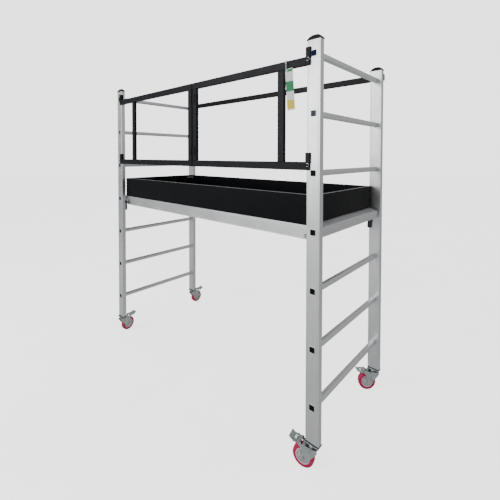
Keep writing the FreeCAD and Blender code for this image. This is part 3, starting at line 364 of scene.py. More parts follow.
def tread(name, shade):
    """Cast polyurethane: deep and glossy, with dusty scuffs round the rolling face."""
    finish = Finish(name, roughness=0.3)
    finish.shader.inputs["Subsurface Weight"].default_value = 0.08
    finish.shader.inputs["Subsurface Scale"].default_value = 0.004
    finish.shader.inputs["Coat Weight"].default_value = 0.1
    finish.shader.inputs["Coat Roughness"].default_value = 0.2
    flow = finish.noise(30, 4, 0.55)
    scuffs = finish.noise(160, 6, 0.75)
    base = finish.tones(flow, shade, (0.3, 0.75), (0.7, 1.2))
    dusty = (shade[0] * 0.75 + 0.06, shade[1] + 0.05, shade[2] + 0.05)
    finish.set("Base Color", finish.blend(finish.spread(scuffs, 0.0, 0.45, 0.6, 0.75), base, dusty))
    finish.rough(finish.spread(flow, 0.24, 0.34), finish.spread(scuffs, 0.0, 0.14))
    finish.bump(scuffs, 0.1, 0.0004)
    return finish.material


def card(name, low, high):
    """A laminated card in plain blocks of colour, printed across its height."""
    finish = Finish(name, roughness=0.55, specular=0.2)
    height = finish.spread(finish.axis("Z"), 0.0, 1.0, low, high)
    white = (0.8, 0.83, 0.8)
    green = (0.0, 0.22, 0.07)
    yellow = (0.75, 0.56, 0.06)
    blocks = [
        (0.0, white), (0.04, yellow), (0.25, white), (0.46, green),
        (0.7, white), (0.93, green), (0.99, white),
    ]
    printed = finish.ramp(height, blocks, stepped=True)
    fade = finish.noise(40, 5, 0.65)
    finish.set("Base Color", finish.blend(finish.spread(fade, 0.0, 0.08), printed, (0.75, 0.78, 0.76)))
    finish.set("Roughness", finish.spread(fade, 0.48, 0.62))
    finish.bump(finish.noise(90, 3, 0.5), 0.08, 0.0005)
    return finish.material


def floor_finish(name, glow):
    """A pale mottled floor that glows only where the camera sees it."""
    finish = Finish(name, roughness=0.85, specular=0.15)
    mottle = finish.noise(1.5, 6, 0.6)
    pale = finish.ramp(mottle, [(0.3, (0.8, 0.8, 0.8)), (0.7, (0.84, 0.84, 0.84))])
    finish.set("Base Color", pale)
    finish.set("Emission Color", pale)
    seen = finish.nodes.new("ShaderNodeLightPath").outputs["Is Camera Ray"]
    finish.set("Emission Strength", finish.math("MULTIPLY", seen, glow))
    finish.bump(finish.noise(60, 4, 0.6), 0.05, 0.001)
    return finish.material


MAKERS = {
    "stile_metal": (aluminium, "aluminium", {"grain": "Z"}),
    "rung_metal": (aluminium, "aluminium", {"grain": "Y"}),
    "rail_metal": (aluminium, "aluminium", {"grain": "X"}),
    "black_paint": (powder_coat, "black_paint", {}),
    "catch_paint": (powder_coat, "catch", {"roughness": 0.36}),
    "board_film": (board_film, "board", {}),
    "deck_grip": (deck_grip, "board", {}),
    "board_edge": (board_edge, "board_edge", {}),
    "zinc": (zinc, "zinc", {}),
    "tread": (tread, "tread", {}),
    "hub": (moulded, "hub", {"roughness": 0.34, "coat": 0.15}),
    "cap": (moulded, "cap", {"roughness": 0.36, "specular": 0.25}),
    # painted shade: the black of the swivel gaps
    "seal": (moulded, "seal", {"roughness": 0.5}),
    "plug_top": (moulded, "plug_top", {"specular": 0.06}),
    "plug_middle": (moulded, "plug_middle", {"specular": 0.06}),
    "plug_low": (moulded, "plug_low", {"specular": 0.06}),
    "tie": (moulded, "tie", {"roughness": 0.3}),
}
FINISHES = {}


def finish_of(name):
    """The named finish, made the first time it is asked for."""
    if name not in FINISHES:
        maker, colour_name, settings = MAKERS[name]
        shade = tuple(getattr(bpy.context.scene.scaffold_colours, colour_name))
        FINISHES[name] = maker(name, shade, **settings)
    return FINISHES[name]


# ---------------------------------------------------------------- modelling steps

def object_mode():
    if bpy.context.object is not None and bpy.context.object.mode != "OBJECT":
        bpy.ops.object.mode_set(mode="OBJECT")


def clear_selection():
    object_mode()
    bpy.ops.object.select_all(action="DESELECT")


def take(piece):
    """Makes a piece the only selected and the active object."""
    clear_selection()
    piece.select_set(True)
    bpy.context.view_layer.objects.active = piece


def settle(name):
    """Names the new primitive and moves its place into its mesh."""
    piece = bpy.context.active_object
    piece.name = name
    piece.data.name = name
    bpy.ops.object.transform_apply(location=True, rotation=True, scale=True)
    return piece


def block(name, low, high):
    clear_selection()
    low = Vector(low)
    high = Vector(high)
    bpy.ops.mesh.primitive_cube_add(size=1, location=(low + high) / 2)
    bpy.context.active_object.scale = high - low
    return settle(name)


def rod(name, start, end, radius, sides=48):
    clear_selection()
    start = Vector(start)
    run = Vector(end) - start
    turn = run.to_track_quat("Z", "Y").to_euler()
    bpy.ops.mesh.primitive_cylinder_add(
        vertices=sides, radius=radius, depth=run.length, location=start + run / 2, rotation=turn
    )
    return settle(name)


def pick(piece, faces=None, edges=None):
    """Enters edit mode with only the faces or edges that pass a test on their place."""
    take(piece)
    mesh = piece.data
    for items in (mesh.vertices, mesh.edges, mesh.polygons):
        items.foreach_set("select", [False] * len(items))
    if faces:
        for face in mesh.polygons:
            face.select = bool(faces(face.center, face.normal))
    if edges:
        points = mesh.vertices
        for edge in mesh.edges:
            edge.select = bool(edges(points[edge.vertices[0]].co, points[edge.vertices[1]].co))
    bpy.context.tool_settings.mesh_select_mode = (False, edges is not None, edges is None)
    bpy.ops.object.mode_set(mode="EDIT")


def push(offset):
    """Extrudes the picked faces along a vector."""
    bpy.ops.mesh.extrude_region_move(TRANSFORM_OT_translate={"value": tuple(offset)})


def modify(piece, kind, **settings):
    take(piece)
    modifier = piece.modifiers.new(kind.lower(), kind)
    for name, value in settings.items():
        setattr(modifier, name, value)
    bpy.ops.object.modifier_apply(modifier=modifier.name)


def smooth(piece, degrees=40):
    """Shades round stretches smooth and keeps the flats flat."""
    take(piece)
    bpy.ops.object.shade_smooth_by_angle(angle=math.radians(degrees))
    modify(piece, "WEIGHTED_NORMAL", keep_sharp=True)
    return piece


def rounded(piece, width, segments=2, degrees=35):
    modify(
        piece, "BEVEL", width=width, segments=segments, limit_method="ANGLE",
        angle_limit=math.radians(degrees), use_clamp_overlap=False,
    )
    return smooth(piece)


def bevel_edges(piece, test, width, segments=3):
    pick(piece, edges=test)
    bpy.ops.mesh.bevel(offset=width, segments=segments, affect="EDGES", clamp_overlap=False)
    object_mode()
    return piece


def edges_along(axis):
    """A test that passes the edges that run along an axis."""
    return lambda a, b: abs(a[axis] - b[axis]) > 1e-4


def hollow(piece, wall):
    """Opens a solid right through along Y and leaves a wall round the hole."""
    pick(piece, faces=lambda centre, normal: abs(normal.y) > 0.9)
    bpy.ops.mesh.inset(thickness=wall, use_individual=True)
    bpy.ops.mesh.delete(type="FACE")
    bpy.ops.mesh.select_mode(type="EDGE")
    bpy.ops.mesh.select_non_manifold()
    bpy.ops.mesh.bridge_edge_loops()
    object_mode()


def slice_at(piece, height):
    """Cuts all of a piece's faces along one level."""
    pick(piece)
    bpy.ops.mesh.select_all(action="SELECT")
    bpy.ops.mesh.bisect(plane_co=(0, 0, height), plane_no=(0, 0, 1))
    object_mode()


def pan_head(start, end, radius):
    return rounded(rod("head", start, end, radius, 32), 0.0009, 3)


def copy_of(node, name):
    """A CAD node's shape as a new piece, with its triangles merged into whole faces."""
    clear_selection()
    piece = bpy.data.objects.new(name, frame["nodes"][node].data.copy())
    piece.data.name = name
    piece.data.materials.clear()
    bpy.context.scene.collection.objects.link(piece)
    take(piece)
    bpy.ops.mesh.customdata_custom_splitnormals_clear()
    bpy.ops.object.mode_set(mode="EDIT")
    bpy.ops.mesh.select_all(action="SELECT")
    bpy.ops.mesh.remove_doubles(threshold=0.00001)
    bpy.ops.mesh.dissolve_limited(angle_limit=math.radians(1))
    object_mode()
    return piece


def duplicate(piece, name, place=(0, 0, 0), turn=0.0):
    """A copy with its own mesh, turned about Z and moved to its place."""
    twin = piece.copy()
    twin.data = piece.data.copy()
    twin.name = name
    twin.data.name = name
    bpy.context.scene.collection.objects.link(twin)
    twin.data.transform(Matrix.Translation(Vector(place)) @ Matrix.Rotation(turn, 4, "Z"))
    return twin


def discard(piece):
    bpy.data.objects.remove(piece)


def joined(name, pieces):
    clear_selection()
    for piece in pieces:
        piece.select_set(True)
    bpy.context.view_layer.objects.active = pieces[0]
    bpy.ops.object.join()
    whole = bpy.context.active_object
    whole.name = name
    whole.data.name = name
    return whole


def loose_boxes(node):
    """The lowest and highest corners of each separate solid of a CAD node."""
    piece = copy_of(node, "loose_solids")
    bpy.ops.mesh.separate(type="LOOSE")
    solids = list(bpy.context.selected_objects)
    boxes = []
    for solid in solids:
        points = [vertex.co for vertex in solid.data.vertices]
        low = Vector([min(point[i] for point in points) for i in range(3)])
        high = Vector([max(point[i] for point in points) for i in range(3)])
        boxes.append((low, high))
    for solid in solids:
        discard(solid)
    return sorted(boxes, key=lambda pair: tuple(round(value, 5) for value in pair[0]))


def paint(piece, *names):
    piece.data.materials.clear()
    for name in names:
        piece.data.materials.append(finish_of(name))
    return piece


def fit(piece, body, slot, *nodes):
    """Fixes a finished piece to a body and hides the CAD nodes that it stands for. The slot is not used."""
    object_mode()
    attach(piece, body)
    if nodes:
        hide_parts(*nodes)
    return piece


def body_of(node):
    return frame["nodes"][node]["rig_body"]


def dress(node, part, finish, slot, width, segments=2):
    """A CAD node's shape with rounded edges, in its finish and on its body."""
    piece = rounded(copy_of(node, node + part), width, segments)
    fit(paint(piece, finish), body_of(node), slot, node)


def second_finish(piece, test):
    """Gives the faces that pass the test the piece's second material."""
    for face in piece.data.polygons:
        if test(face.center, face.normal):
            face.material_index = 1


# ---------------------------------------------------------------- ladder frames

def rung_heights():
    """The middles of the rungs, from the lowest up, read from one frame's rungs."""
    return sorted((low.z + high.z) / 2 for low, high in loose_boxes("rungs_right"))


class SCAFFOLD_OT_stiles(bpy.types.Operator):
    """Rounds the extruded stiles and gives them their metal"""

    bl_idname = "scaffold.stiles"
    bl_label = "Stiles"

    def execute(self, context):
        sizes = context.scene.scaffold_sizes
        for corner in CORNERS:
            node = "stile_" + corner
            low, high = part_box(node)
            piece = copy_of(node, node + "_bar")

            def outer_corner(a, b):
                upright = abs(a.x - b.x) < 1e-5 and abs(a.y - b.y) < 1e-5
                at_x = min(abs(a.x - low.x), abs(a.x - high.x)) < 1e-5
                at_y = min(abs(a.y - low.y), abs(a.y - high.y)) < 1e-5
                return upright and at_x and at_y

            bevel_edges(piece, outer_corner, sizes.stile_round, 4)
            rounded(piece, sizes.fine_round)
            fit(paint(piece, "stile_metal"), body_of(node), "frame_aluminium", node)
        return {"FINISHED"}


def rung_lip(name, half, flat, sizes):
    """The swaged end of a rung: an octagonal ring that stands on the stile's face."""
    inner_step = 0.0003
    sunk = 0.0006
    reach = half + sizes.lip_width
    ring = block(name, (-reach, -sizes.lip_proud, -reach), (reach, sunk, reach))
    bevel_edges(ring, edges_along(Y), flat, 2)
    hollow(ring, sizes.lip_width + inner_step)
    return rounded(ring, 0.0004, 3)


def rung_plug(name, half, flat):
    """A push-in plug: a flange with a sunk middle over the rung's end, and a body inside it."""
    wall = 0.00215
    proud = 0.0011
    seat = 0.0001
    depth = 0.012
    flange = block(name, (-half, -proud, -half), (half, -seat, half))
    body = block(name + "_body", (wall - half, -seat, wall - half), (half - wall, depth, half - wall))

    def front(centre, normal):
        return normal.y < -0.9

    bevel_edges(flange, edges_along(Y), flat, 2)
    bevel_edges(body, edges_along(Y), flat * 0.75, 2)
    pick(flange, faces=front)
    bpy.ops.mesh.inset(thickness=0.003)
    bpy.ops.mesh.inset(thickness=0.0004)
    push((0, 0.0006, 0))
    object_mode()
    return joined(name, [flange, rounded(body, 0.0006, 2)])


class SCAFFOLD_OT_rungs(bpy.types.Operator):
    """Finishes the rungs, their swaged lips and the plugs in their ends"""

    bl_idname = "scaffold.rungs"
    bl_label = "Rungs"

    def execute(self, context):
        sizes = context.scene.scaffold_sizes
        heights = rung_heights()
        for side in ("left", "right"):
            dress("rungs_" + side, "_bars", "rung_metal", "frame_aluminium", sizes.fine_round)
        low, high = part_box("rungs_right")
        half = (high.x - low.x) / 2
        flat = half * 0.36
        lip = rung_lip("lip_pattern", half, flat, sizes)
        plug_gap = 0.0004
        plug = rung_plug("plug_pattern", half - plug_gap, flat * 0.75)
        turns = {"front": 0.0, "back": math.pi}
        for corner in CORNERS:
            face, side = corner.split("_")
            stile_low, stile_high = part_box("stile_" + corner)
            x = (stile_low.x + stile_high.x) / 2
            y = stile_low.y if face == "front" else stile_high.y
            lips = []
            for index, height in enumerate(heights):
                covered = face == "back" and index == len(heights) - 1
                if not covered:
                    lips.append(duplicate(lip, "lip_%s_%d" % (corner, index), (x, y, height), turns[face]))
            whole = joined("rung_lips_" + corner, lips)
            fit(paint(whole, "stile_metal"), "scaffold", "frame_aluminium")
            finishes = ("plug_top", "plug_middle") + ("plug_low",) * (len(heights) - 2)
            for index, (height, name) in enumerate(zip(reversed(heights), finishes)):
                twin = duplicate(plug, "rung_plug_%s_%d" % (corner, index), (x, y, height), turns[face])
                fit(paint(twin, name), "scaffold", "plug_plastic")
        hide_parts("rung_end_plugs")
        discard(lip)
        discard(plug)
        return {"FINISHED"}


class SCAFFOLD_OT_caps(bpy.types.Operator):
    """Models the domed stile caps and the foot plugs"""

    bl_idname = "scaffold.caps"
    bl_label = "Caps and foot plugs"

    def execute(self, context):
        caps_low, caps_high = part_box("stile_caps")
        stile_low, stile_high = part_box("stile_front_right")
        over_x = caps_high.x - stile_high.x
        half_x = (stile_high.x - stile_low.x) / 2 + over_x
        half_y = (stile_high.y - stile_low.y) / 2 + (stile_low.y - caps_low.y)
        rise = caps_high.z - stile_high.z
        profile = [
            (1.0, 0.12), (0.9, 0.3), (0.76, 0.52), (0.6, 0.73),
            (0.43, 0.88), (0.25, 0.965), (0.1, 1.0),
        ]
        cap = block("cap_pattern", (-half_x, -half_y, 0), (half_x, half_y, rise * profile[0][1]))

        def top(centre, normal):
            return normal.z > 0.9

        bevel_edges(cap, edges_along(Z), 0.007, 5)
        pick(cap, faces=top)
        for (before, low), (after, high) in zip(profile, profile[1:]):
            push((0, 0, rise * (high - low)))
            bpy.ops.transform.resize(value=(after / before, after / before, 1))
        object_mode()
        modify(cap, "BEVEL", width=0.0009, segments=2, limit_method="ANGLE", angle_limit=math.radians(60))
        smooth(cap, 50)
        for corner in CORNERS:
            low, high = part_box("stile_" + corner)
            place = ((low.x + high.x) / 2, (low.y + high.y) / 2, high.z)
            twin = duplicate(cap, "cap_" + corner, place)
            fit(paint(twin, "cap"), "scaffold", "black_plastic")
        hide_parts("stile_caps")
        discard(cap)
        plugs = rounded(copy_of("foot_plugs", "foot_plug_flanges"), 0.0008, 3)
        fit(paint(plugs, "cap"), "scaffold", "black_plastic", "foot_plugs")
        return {"FINISHED"}


# ---------------------------------------------------------------- casters

def caster_turn(corner):
    """The caster's heading about its swivel, read from its wheel's axis."""
    axis = JOINTS["wheel_spin_" + corner]["axis"]
    return math.atan2(-axis[0], axis[1])


class SCAFFOLD_OT_wheels(bpy.types.Operator):
    """Models a tyre and a ribbed hub once and sets them in every caster"""

    bl_idname = "scaffold.wheels"
    bl_label = "Wheels"

    def tyre(self, sizes, radius, width, inner):
        ring = rod("tyre_pattern", (0, -width / 2, 0), (0, width / 2, 0), radius, 96)
        hollow(ring, radius - inner)

        def shoulder(a, b):
            far = min(math.hypot(a.x, a.z), math.hypot(b.x, b.z)) > radius - 0.001
            return far and abs(abs(a.y) - width / 2) < 1e-4 and abs(a.y - b.y) < 1e-4

        def inner_edge(a, b):
            near = max(math.hypot(a.x, a.z), math.hypot(b.x, b.z)) < inner + 0.001
            return near and abs(abs(a.y) - width / 2) < 1e-4 and abs(a.y - b.y) < 1e-4

        bevel_edges(ring, shoulder, sizes.tyre_round, 7)
        bevel_edges(ring, inner_edge, 0.0012, 3)
        return smooth(ring)

    def hub(self, radius, width, boss_radius, boss_width):
        rim = 0.006
        recess = 0.009
        draft = 0.95
        taper = 0.002
        boss_draft = boss_radius / (boss_radius + taper)
        disc = rod("hub_pattern", (0, -width / 2, 0), (0, width / 2, 0), radius, 96)
        for side in (-1, 1):
            pick(disc, faces=lambda centre, normal: normal.y * side > 0.9)
            bpy.ops.mesh.inset(thickness=rim)
            push((0, -recess * side, 0))
            bpy.ops.transform.resize(value=(draft, 1, draft))
            bpy.ops.mesh.inset(thickness=(radius - rim) * draft - boss_radius - taper)
            push((0, (recess + (boss_width - width) / 2) * side, 0))
            bpy.ops.transform.resize(value=(boss_draft, 1, boss_draft))
        object_mode()
        parts = [rounded(disc, 0.0007, 2, 30)]
        rib_low = boss_radius * 0.9
        rib_high = radius - rim
        rib_half = width / 2 - 0.0035
        half_wall = 0.0014
        ribs = 5
        first_turn = 0.3
        for index in range(ribs):
            rib = block("rib", (rib_low, -rib_half, -half_wall), (rib_high, rib_half, half_wall))
            rib.data.transform(Matrix.Rotation(math.tau * index / ribs + first_turn, 4, "Y"))
            parts.append(rounded(rib, 0.0006, 2))
        return joined("hub_pattern", parts)

    def execute(self, context):
        sizes = context.scene.scaffold_sizes
        corner = "back_left"
        tyre_low, tyre_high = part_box("wheel_tyre_" + corner)
        radius = (tyre_high.z - tyre_low.z) / 2
        turn = abs(math.sin(caster_turn(corner)))
        side = math.sqrt(1 - turn * turn)
        width = ((tyre_high.x - tyre_low.x) - 2 * radius * side) / turn
        hub_low, hub_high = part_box("wheel_hub_" + corner)
        hub_share = 0.92
        inner = (hub_high.z - hub_low.z) / 2 * hub_share
        tyre = self.tyre(sizes, radius, width, inner)
        hub = self.hub(inner, width - 0.003, boss_radius=0.013, boss_width=width + 0.002)
        for corner in CORNERS:
            place = JOINTS["wheel_spin_" + corner]["pos_m"]
            turn = caster_turn(corner)
            body = "wheel_" + corner
            ring = duplicate(tyre, "tyre_" + corner, place, turn)
            fit(paint(ring, "tread"), body, "red_tread", "wheel_tyre_" + corner)
            disc = duplicate(hub, "hub_" + corner, place, turn)
            fit(paint(disc, "hub"), body, "hub_plastic", "wheel_hub_" + corner)
        discard(tyre)
        discard(hub)
        return {"FINISHED"}


class SCAFFOLD_OT_casters(bpy.types.Operator):
    """Finishes the forks, plates, axle bolts and brake pedals, and fills each swivel gap with black painted
    shade
    """

    bl_idname = "scaffold.casters"
    bl_label = "Casters"

    def seal(self, corner):
        """Painted shade: a black pad under the caster's plate and a black ring at its swivel race, standing
        in for the shadow in the gap between them.
        """
        low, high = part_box("caster_plate_" + corner)
        x = (low.x + high.x) / 2
        y = (low.y + high.y) / 2
        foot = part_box("foot_plugs")[0].z
        thickness = 0.0042
        top = foot - 0.005
        inset = 0.001
        # painted shade: a black pad under the plate, where the gap lies in shadow
        gap_shade_pad = block(
            "swivel_seal_" + corner,
            (low.x + inset, low.y + inset, top - thickness),
            (high.x - inset, high.y - inset, top),
        )
        bevel_edges(gap_shade_pad, edges_along(Z), 0.006, 4)
        rounded(gap_shade_pad, 0.0008, 3)
        # painted shade: a black ring at the swivel race, where the gap lies in shadow
        swivel = JOINTS["swivel_" + corner]["pos_m"]
        ring_low = swivel[Z] + 0.0005
        ring_high = swivel[Z] + 0.0046
        ring = rod("race_seal_" + corner, (x, y, ring_low), (x, y, ring_high), 0.0252, 64)
        rounded(ring, 0.0012, 3)
        fit(paint(gap_shade_pad, "seal"), "scaffold", "black_plastic")
        fit(paint(ring, "seal"), "caster_" + corner, "black_plastic")

    def pedal(self, corner):
        node = "brake_pedal_" + corner
        piece = rounded(copy_of(node, node + "_plate"), 0.0007, 2)
        place = Vector(JOINTS["brake_" + corner]["pos_m"])
        turn = caster_turn(corner)
        slots = []
        slot_half = 0.0015
        reach = 0.013
        for back in (-0.0145, -0.021, -0.0275):
            slot = block("slot", (back - slot_half, -reach, -0.004), (back + slot_half, reach, 0.012))
            slot.data.transform(Matrix.Rotation(turn, 4, "Z"))
            slot.data.transform(Matrix.Translation(place))
            slots.append(slot)
        cutter = joined("slot_cutter", slots)
        modify(piece, "BOOLEAN", operation="DIFFERENCE", object=cutter, solver="EXACT")
        discard(cutter)
        smooth(piece)
        fit(paint(piece, "zinc"), body_of(node), "zinc", node)

    def execute(self, context):
        steel = {"caster_fork_": 0.0009, "caster_plate_": 0.0007, "axle_bolt_": 0.0007}
        for corner in CORNERS:
            for prefix, width in steel.items():
                dress(prefix + corner, "_steel", "zinc", "zinc", width)
            # black painted shade in the gap between plate and swivel race
            self.seal(corner)
            self.pedal(corner)
        return {"FINISHED"}


class SCAFFOLD_OT_fasteners(bpy.types.Operator):
    """Chamfers the frame bolts and puts washers under the bolts that show"""

    bl_idname = "scaffold.fasteners"
    bl_label = "Fasteners"

    def execute(self, context):
        bolts = rounded(copy_of("frame_bolts", "frame_bolt_set"), 0.0006, 2, 50)
        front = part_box("stile_front_right")[0].y
        paint(bolts, "zinc", "black_paint")
        second_finish(bolts, lambda centre, normal: centre.y < front)
        fit(bolts, "scaffold", "zinc", "frame_bolts")
        head_height = 0.0055
        washer_height = 0.0012
        washer_radius = 0.0082
        washers = []
        for low, high in loose_boxes("frame_bolts"):
            if max(range(3), key=lambda axis: high[axis] - low[axis]) == Z:
                continue
            centre = (low + high) / 2
            sign = -1 if centre.y < 0 else 1
            outer = low.y if sign < 0 else high.y
            seat = outer - head_height * sign
            edge = seat + washer_height * sign
            washer = rod("washer", (centre.x, seat, centre.z), (centre.x, edge, centre.z), washer_radius, 40)
            washers.append(rounded(washer, 0.0003, 2))
        fit(paint(joined("frame_washers", washers), "zinc"), "scaffold", "zinc")
        return {"FINISHED"}


# ---------------------------------------------------------------- platform

class SCAFFOLD_OT_platform(bpy.types.Operator):
    """Models the grooved side rails and finishes the beams, members, brackets and catches"""

    bl_idname = "scaffold.platform"
    bl_label = "Platform"

    def side_rail(self, face):
        node = "platform_side_rail_" + face
        sign = -1 if face == "front" else 1
        low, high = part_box(node)
        toe_low, toe_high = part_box("toe_board_" + face)
        outer = max(abs(toe_low.y), abs(toe_high.y))
        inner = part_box("platform_cross_members")[1].y
        ys = sorted((outer * sign, inner * sign))
        bar = block(node + "_bar", (low.x, ys[0], low.z), (high.x, ys[1], high.z))
        height = high.z - low.z
        lines = (0.0045, 0.0085, height - 0.0125, height - 0.0085, height - 0.0045)
        half_line = 0.0006
        for line in lines:
            for edge in (-half_line, half_line):
                slice_at(bar, low.z + line + edge)

        def strip(centre, normal):
            return normal.y * sign > 0.9 and any(abs(centre.z - low.z - line) < half_line for line in lines)

        pick(bar, faces=strip)
        push((0, -0.0008 * sign, 0))
        object_mode()
        rounded(bar, 0.0003, 2)
        studs = []
        for side in ("left", "right"):
            place = Vector(JOINTS["catch_swing_%s_%s" % (face, side)]["pos_m"])
            far = max(abs(low.y), abs(high.y)) * sign
            for start, end, radius in (
                (outer * sign, outer * sign + 0.0052 * sign, 0.008),
                (outer * sign, far, 0.004),
                (far - 0.0026 * sign, far, 0.008),
            ):
                stud = rod("stud", (place.x, start, place.z), (place.x, end, place.z), radius, 40)
                studs.append(rounded(stud, 0.0005, 3))
        fit(paint(bar, "rail_metal"), body_of(node), "frame_aluminium", node)
        whole = joined(node + "_studs", studs)
        fit(paint(whole, "zinc"), body_of(node), "zinc")

    def execute(self, context):
        for face in ("front", "back"):
            self.side_rail(face)
        for node, finish, slot, width in (
            ("platform_end_beam_left", "rung_metal", "frame_aluminium", 0.0003),
            ("platform_end_beam_right", "rung_metal", "frame_aluminium", 0.0003),
            ("platform_cross_members", "rung_metal", "frame_aluminium", 0.0005),
            ("toe_board_brackets", "zinc", "zinc", 0.0006),
        ):
            dress(node, "_metal", finish, slot, width)
        for corner in CORNERS:
            dress("platform_catch_" + corner, "_plate", "catch_paint", "catch_steel", 0.0009, 3)
        return {"FINISHED"}


class SCAFFOLD_OT_boards(bpy.types.Operator):
    """Models the deck and toe boards with their sealed edges and screws"""

    bl_idname = "scaffold.boards"
    bl_label = "Boards"

    def execute(self, context):
        for side in ("front", "back", "left", "right"):
            node = "toe_board_" + side
            low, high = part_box(node)
            board = rounded(block(node + "_panel", low, high), 0.0012, 3)
            paint(board, "board_film", "board_edge")
            second_finish(board, lambda centre, normal: normal.z > 0.5)
            fit(board, body_of(node), "black_board", node)
        low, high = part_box("platform_deck")
        deck = rounded(block("platform_deck_panel", low, high), 0.0008, 2)
        paint(deck, "board_film", "deck_grip")
        second_finish(deck, lambda centre, normal: normal.z > 0.9)
        fit(deck, body_of("platform_deck"), "black_board", "platform_deck")
        self.screws(high)
        return {"FINISHED"}

    def screws(self, high):
        """Countersunk screws through the deck and pan heads in the corner brackets."""
        heads = []
        for fraction in (-0.96, -0.5, 0.0, 0.5, 0.96):
            for sign in (-1, 1):
                x = high.x * fraction
                y = (high.y - 0.02) * sign
                head = rod("head", (x, y, high.z - 0.001), (x, y, high.z + 0.0004), 0.0055, 32)
                pick(head, faces=lambda centre, normal: normal.z > 0.9)
                bpy.ops.mesh.inset(thickness=0.003)
                push((0, 0, -0.0008))
                object_mode()
                heads.append(rounded(head, 0.0002, 2))
        for angle_low, angle_high in loose_boxes("toe_board_brackets"):
            sx = 1 if angle_low.x > 0 else -1
            sy = 1 if angle_low.y > 0 else -1
            corner_x = angle_high.x if sx > 0 else angle_low.x
            corner_y = angle_high.y if sy > 0 else angle_low.y
            height = (angle_low.z + angle_high.z) / 2
            wall = 0.003
            proud = 0.0022
            radius = 0.0036
            for along in (0.015, 0.033):
                x = corner_x - along * sx
                seat = corner_y - wall * sy
                heads.append(pan_head((x, seat, height), (x, seat - proud * sy, height), radius))
                y = corner_y - along * sy
                seat = corner_x - wall * sx
                heads.append(pan_head((seat, y, height), (seat - proud * sx, y, height), radius))
        fit(paint(joined("platform_screws", heads), "zinc"), "platform", "zinc")


# ---------------------------------------------------------------- guard frame and back rail

def guard_tube(name, low, high, sizes):
    """A welded tube: rounded along its length, with a pushed-in end plug where an end is open."""
    tube = block(name, low, high)
    run = max(range(3), key=lambda axis: high[axis] - low[axis])
    across = [axis for axis in range(3) if axis != run]

    def lengthwise(a, b):
        return all(abs(a[axis] - b[axis]) < 1e-5 for axis in across)

    bevel_edges(tube, lengthwise, sizes.tube_round, 5)
    pick(tube, faces=lambda centre, normal: abs(normal[run]) > 0.9)
    bpy.ops.mesh.inset(thickness=0.0016, use_individual=True)
    bpy.ops.mesh.inset(thickness=0.0004, use_individual=True)
    object_mode()
    for sign in (-1, 1):
        end = (high if sign > 0 else low)[run]

        def plug(centre, normal):
            at_end = normal[run] * sign > 0.9 and abs(centre[run] - end) < 1e-5
            return at_end and all(abs(centre[axis] - (low[axis] + high[axis]) / 2) < 1e-4 for axis in across)

        pick(tube, faces=plug)
        offset = [0, 0, 0]
        offset[run] = -0.0008 * sign
        push(offset)
        object_mode()
    return smooth(tube)


def weld_bead(name, start, end, radius):
    """A rippled bead of weld along a joint."""
    bead = rod(name, start, end, radius, 10)
    run = Vector(end) - Vector(start)
    ripple = 0.0022
    steps = max(4, int(run.length / ripple))
    pick(bead)
    for index in range(1, steps):
        bpy.ops.mesh.select_all(action="SELECT")
        bpy.ops.mesh.bisect(plane_co=Vector(start) + run * index / steps, plane_no=run.normalized())
    object_mode()
    for vertex in bead.data.vertices:
        along = (vertex.co - Vector(start)).dot(run) / run.length_squared
        middle = Vector(start) + run * along
        ring = round(along * steps)
        swell = 1.0 if ring % 2 else 0.8
        if ring in (0, steps):
            swell = 0.45
        vertex.co = middle + (vertex.co - middle) * swell
    take(bead)
    bpy.ops.object.shade_smooth()
    return bead


